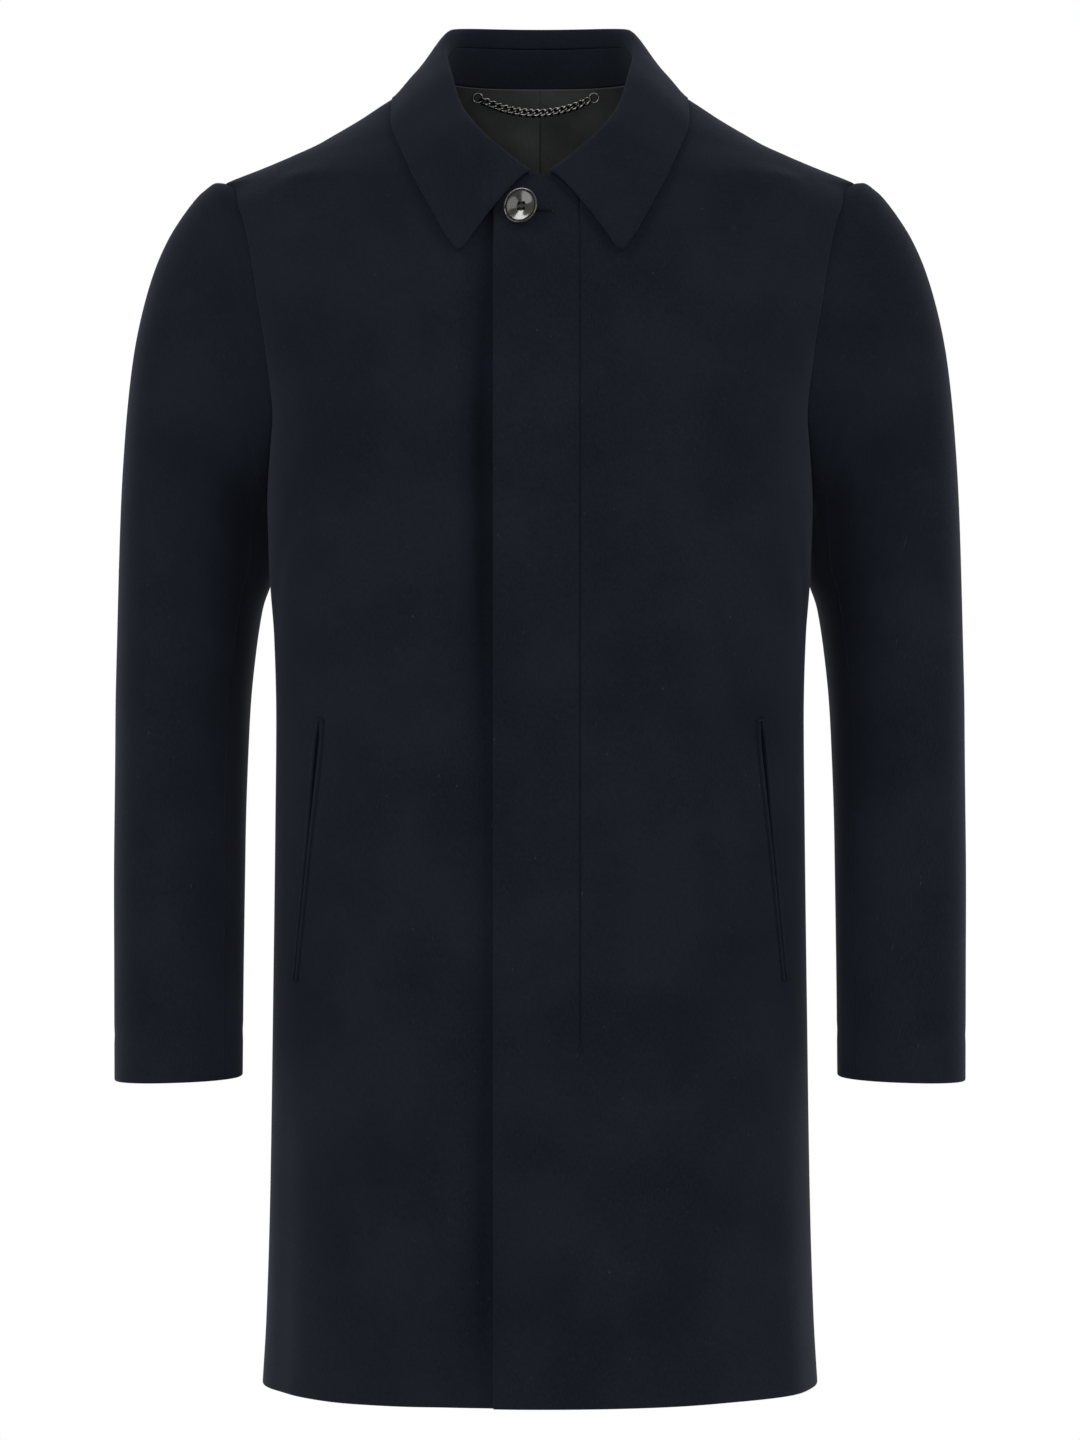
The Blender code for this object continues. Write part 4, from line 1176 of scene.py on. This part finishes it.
def turned_button():
    """Points and faces of the button, turned from its profile, which starts and ends on the axis."""
    radii = BUTTON_PROFILE["radius"] * BUTTON_RADIUS
    levels = BUTTON_PROFILE["height"] * BUTTON_HEIGHT
    points = [(0.0, 0.0, levels[0])]
    for radius, level in zip(radii[1:-1], levels[1:-1]):
        for turn in np.linspace(0.0, 2 * math.pi, BUTTON_SIDES, endpoint=False):
            points.append((radius * math.cos(turn), radius * math.sin(turn), level))
    points.append((0.0, 0.0, levels[-1]))
    last = len(points) - 1
    top = last - BUTTON_SIDES
    faces = []
    for j in range(BUTTON_SIDES):
        k = (j + 1) % BUTTON_SIDES
        faces.append([0, 1 + k, 1 + j])
        for low in range(1, top, BUTTON_SIDES):
            high = low + BUTTON_SIDES
            faces.append([low + j, low + k, high + k, high + j])
        faces.append([last, top + j, top + k])
    return points, faces


def drill_button(button):
    """Four holes cut through the button."""
    drills = []
    for across in (-0.5, 0.5):
        for up in (-0.5, 0.5):
            depth = 4 * BUTTON_HEIGHT
            bpy.ops.mesh.primitive_cylinder_add(vertices=HOLE_SIDES, radius=HOLE_RADIUS, depth=depth)
            drill = bpy.context.object
            drill.parent = button
            drill.location = (across * HOLE_ACROSS, up * HOLE_UP, 0.0)
            cut = button.modifiers.new("hole", "BOOLEAN")
            cut.operation = "DIFFERENCE"
            cut.solver = "EXACT"
            cut.object = drill
            drills.append(drill)
    bpy.context.view_layer.update()
    drilled = bpy.data.meshes.new_from_object(button.evaluated_get(bpy.context.evaluated_depsgraph_get()))
    button.modifiers.clear()
    button.data = drilled
    for drill in drills:
        bpy.data.objects.remove(drill)
    drilled.set_sharp_from_angle(angle=math.radians(BUTTON_SHARP))


def build_button():
    """A dished four-hole button and the thread that crosses its holes."""
    button = add_piece("button_turned", *turned_button(), BUTTON_HORN, "button")
    place, normal = on_front(BUTTON_X, BUTTON_Z)
    clearance = BUTTON_RADIUS * math.sin(math.radians(BUTTON_TURN)) * BUTTON_STAND_OFF + SEAM_GAP
    button.location = tuple(place + normal * clearance)
    button.rotation_euler = (math.radians(90.0 - BUTTON_PITCH), 0.0, math.radians(-BUTTON_TURN))
    drill_button(button)
    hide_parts("button")
    floor = BUTTON_PROFILE["height"][-1] * BUTTON_HEIGHT
    arch = np.linspace(-0.5, 0.5, SEWN_POINTS)
    height = floor + THREAD - SEWN_SINK * (2 * np.abs(arch)) ** 6
    lines = []
    for up in (-0.5, 0.5):
        for shift in (-SEWN_SHIFT, SEWN_SHIFT):
            beside = np.full_like(arch, up * HOLE_UP + shift)
            lines.append(np.stack([arch * HOLE_ACROSS, beside, height], axis=-1))
    thread = add_strands("button_thread", lines, THREAD, SEWING_THREAD, "wool")
    thread.location = button.location
    thread.rotation_euler = button.rotation_euler


def build_buttonhole():
    """Whipped bars along both lips of the slit and across its end, and a strand of painted shade for the dark
    of the slit.
    """
    bars = []
    for x in np.arange(BUTTONHOLE_START, BUTTONHOLE_END, WHIP_PITCH):
        for lip in (-1.0, 1.0):
            z = BUTTONHOLE_Z + lip * np.linspace(SLIT_HALF, LIP_HEIGHT, WHIP_POINTS)
            bars.append(on_front(np.full_like(z, x), z, LIP_RISE)[0])
    for x in BUTTONHOLE_END + np.linspace(0.0, END_BAR, END_BAR_THREADS):
        z = BUTTONHOLE_Z + np.linspace(-LIP_HEIGHT, LIP_HEIGHT, BAR_POINTS) * END_BAR_REACH
        bars.append(on_front(np.full_like(z, x), z, LIP_RISE)[0])
    add_strands("buttonhole", bars, THREAD, SEWING_THREAD, "wool")
    # Painted shade: a dark strand along the slit stands for the unlit inside of the buttonhole
    x = np.linspace(BUTTONHOLE_START, BUTTONHOLE_END, SLIT_POINTS)
    slit, _ = on_front(x, np.full_like(x, BUTTONHOLE_Z))
    add_strands("buttonhole_slit_painted_shade", [slit], SLIT_HALF, PAINTED_SHADE_MATERIAL, "wool")


def build_fly_stitches():
    """The line of stitches that holds the hidden fly, and the bar tack at its foot."""
    lines = []
    share = np.linspace(0.0, 1.0, STITCH_POINTS)
    dip = THREAD * STITCH_SEAT - FLY_GROOVE - STITCH_SINK * (2 * share - 1) ** 4
    for foot in np.arange(FLY_FOOT, FLY_TOP, STITCH_LENGTH + STITCH_GAP):
        z = foot + share * STITCH_LENGTH
        lines.append(on_front(np.full_like(z, FLY_X), z, dip)[0])
    for step in np.linspace(-FLY_TACK_HEIGHT, FLY_TACK_HEIGHT, FLY_TACK_THREADS):
        x = FLY_X + FLY_TACK * (2 * share - 1)
        lines.append(on_front(x, np.full_like(x, FLY_FOOT + step), THREAD * TACK_SEAT)[0])
    add_strands("fly_stitching", lines, THREAD, SEWING_THREAD, "wool")


# Hanger chain


def chain_point(x):
    return np.array([CHAIN_X + x, CHAIN_Y, CHAIN_END_Z - CHAIN_SAG * (1 - (x / CHAIN_HALF_SPAN) ** 2)])


def build_chain():
    """Curb links, each twisted over one neighbour and under the other, between two wire rings."""
    start = CHAIN_HALF_SPAN - RING_RADIUS
    pitch = 2 * start / CHAIN_LINKS
    length = pitch / 2 + LINK_LAP * LINK_WIRE
    width = CHAIN_WIDTH / 2 - LINK_WIRE
    through = np.array([0.0, 1.0, 0.0])
    turns = np.linspace(0.0, 2 * math.pi, LINK_POINTS, endpoint=False)[:, None]
    lines = []
    for x in -start + pitch * (np.arange(CHAIN_LINKS) + 0.5):
        along = unit(chain_point(x + pitch / 2) - chain_point(x - pitch / 2))
        up = np.cross(along, through)
        oval = np.cos(turns) * along * length
        oval = oval + np.sin(turns) * (up * width + along * LINK_SLANT)
        lines.append(chain_point(x) + oval + np.sin(2 * turns) * through * LINK_TWIST)
    wire = {"sides": LINK_SIDES, "closed": True}
    links = add_strands("hanger_chain_links", lines, LINK_WIRE, CHAIN_METAL, "chain", **wire)
    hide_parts("hanger_chain")
    turns = np.linspace(0.0, 2 * math.pi, RING_POINTS, endpoint=False)
    circle = np.stack([np.cos(turns), np.zeros_like(turns), np.sin(turns)], axis=-1) * RING_RADIUS
    wire = {"sides": RING_SIDES, "closed": True}
    for name, side in SIDES:
        centre = np.array([CHAIN_X + side * CHAIN_HALF_SPAN, CHAIN_Y, CHAIN_END_Z])
        node = "hanger_ring_" + name
        ring = add_strands(node + "_wire", [circle + centre], RING_WIRE, CHAIN_METAL, "chain", **wire)
        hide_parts(node)


# Stage


FLOOR_HEIGHT = -1.45
FLOOR_RADIUS = 2.2
FLOOR_PALE = 0.80
FLOOR_LIGHT = 0.84
BACKDROP = 1.0
ROOM = 0.30

# Soft boxes: place, size and power
AIM = (0.0, 0.0, -0.42)
SOFT_BOXES = {
    "key": ((-1.65, -1.35, 1.80), 1.0, 28.0),
    "second": ((1.65, -1.35, 1.80), 1.2, 30.0),
    "left": ((-2.6, -1.3, -0.5), 2.0, 34.0),
    "right": ((2.6, -1.3, -0.5), 2.0, 34.0),
    "front": ((-0.4, -3.2, 0.4), 2.4, 30.0),
    "low": ((0.3, -3.2, -1.2), 2.0, 18.0),
}


def build_floor():
    bpy.ops.mesh.primitive_circle_add(vertices=96, radius=FLOOR_RADIUS, fill_type="NGON")
    floor = bpy.context.object
    floor.name = "floor"
    floor.location = (0.0, 0.0, FLOOR_HEIGHT)
    pale, tree, shader, place = new_material("pale_floor", (FLOOR_PALE,) * 3, 0.7, 0.2)
    grain = noise(tree, place["Object"], 3.0)
    vary(tree, shader, "Base Color", grain, (0.3, FLOOR_PALE), (0.7, FLOOR_LIGHT))
    floor.data.materials.append(pale)


def build_world():
    """A white backdrop behind the coat, and a dimmer room in front of it."""
    world = bpy.data.worlds.new("studio")
    world.use_nodes = True
    tree = world.node_tree
    place = tree.nodes.new("ShaderNodeTexCoord")
    parts = tree.nodes.new("ShaderNodeSeparateXYZ")
    tree.links.new(place.outputs["Generated"], parts.inputs["Vector"])
    depth = math_node(tree, "MULTIPLY_ADD", parts.outputs["Y"], 0.5, 0.5)
    shade = ramp(tree, depth, (0.55, ROOM), (0.75, BACKDROP))
    tree.links.new(shade, tree.nodes["Background"].inputs["Color"])
    bpy.context.scene.world = world


def build_lamps():
    for name, (spot, size, power) in SOFT_BOXES.items():
        lamp = bpy.data.lights.new(name, "AREA")
        lamp.energy = power
        lamp.size = size
        made = bpy.data.objects.new(name, lamp)
        bpy.context.scene.collection.objects.link(made)
        made.location = spot
        made.rotation_euler = (Vector(AIM) - Vector(spot)).to_track_quat("-Z", "Y").to_euler()


def build_camera():
    lens = SENSOR * CAMERA_DISTANCE / (PHOTO_HEIGHT * PIXEL)
    eye = bpy.data.cameras.new("camera")
    eye.sensor_fit = "VERTICAL"
    eye.sensor_height = SENSOR
    eye.sensor_width = SENSOR * PHOTO_WIDTH / PHOTO_HEIGHT
    eye.lens = lens
    made = bpy.data.objects.new("camera", eye)
    bpy.context.scene.collection.objects.link(made)
    made.location = (0.0, -CAMERA_DISTANCE, CAMERA_HEIGHT)
    made.rotation_euler = (math.radians(90.0), 0.0, 0.0)
    bpy.context.scene.camera = made
    bpy.context.scene.view_settings.view_transform = "Standard"


build_fronts()
build_backs()
build_lining()
build_sleeves()
build_collar()
build_pockets()
build_button()
build_buttonhole()
build_fly_stitches()
build_chain()
build_floor()
build_world()
build_lamps()
build_camera()
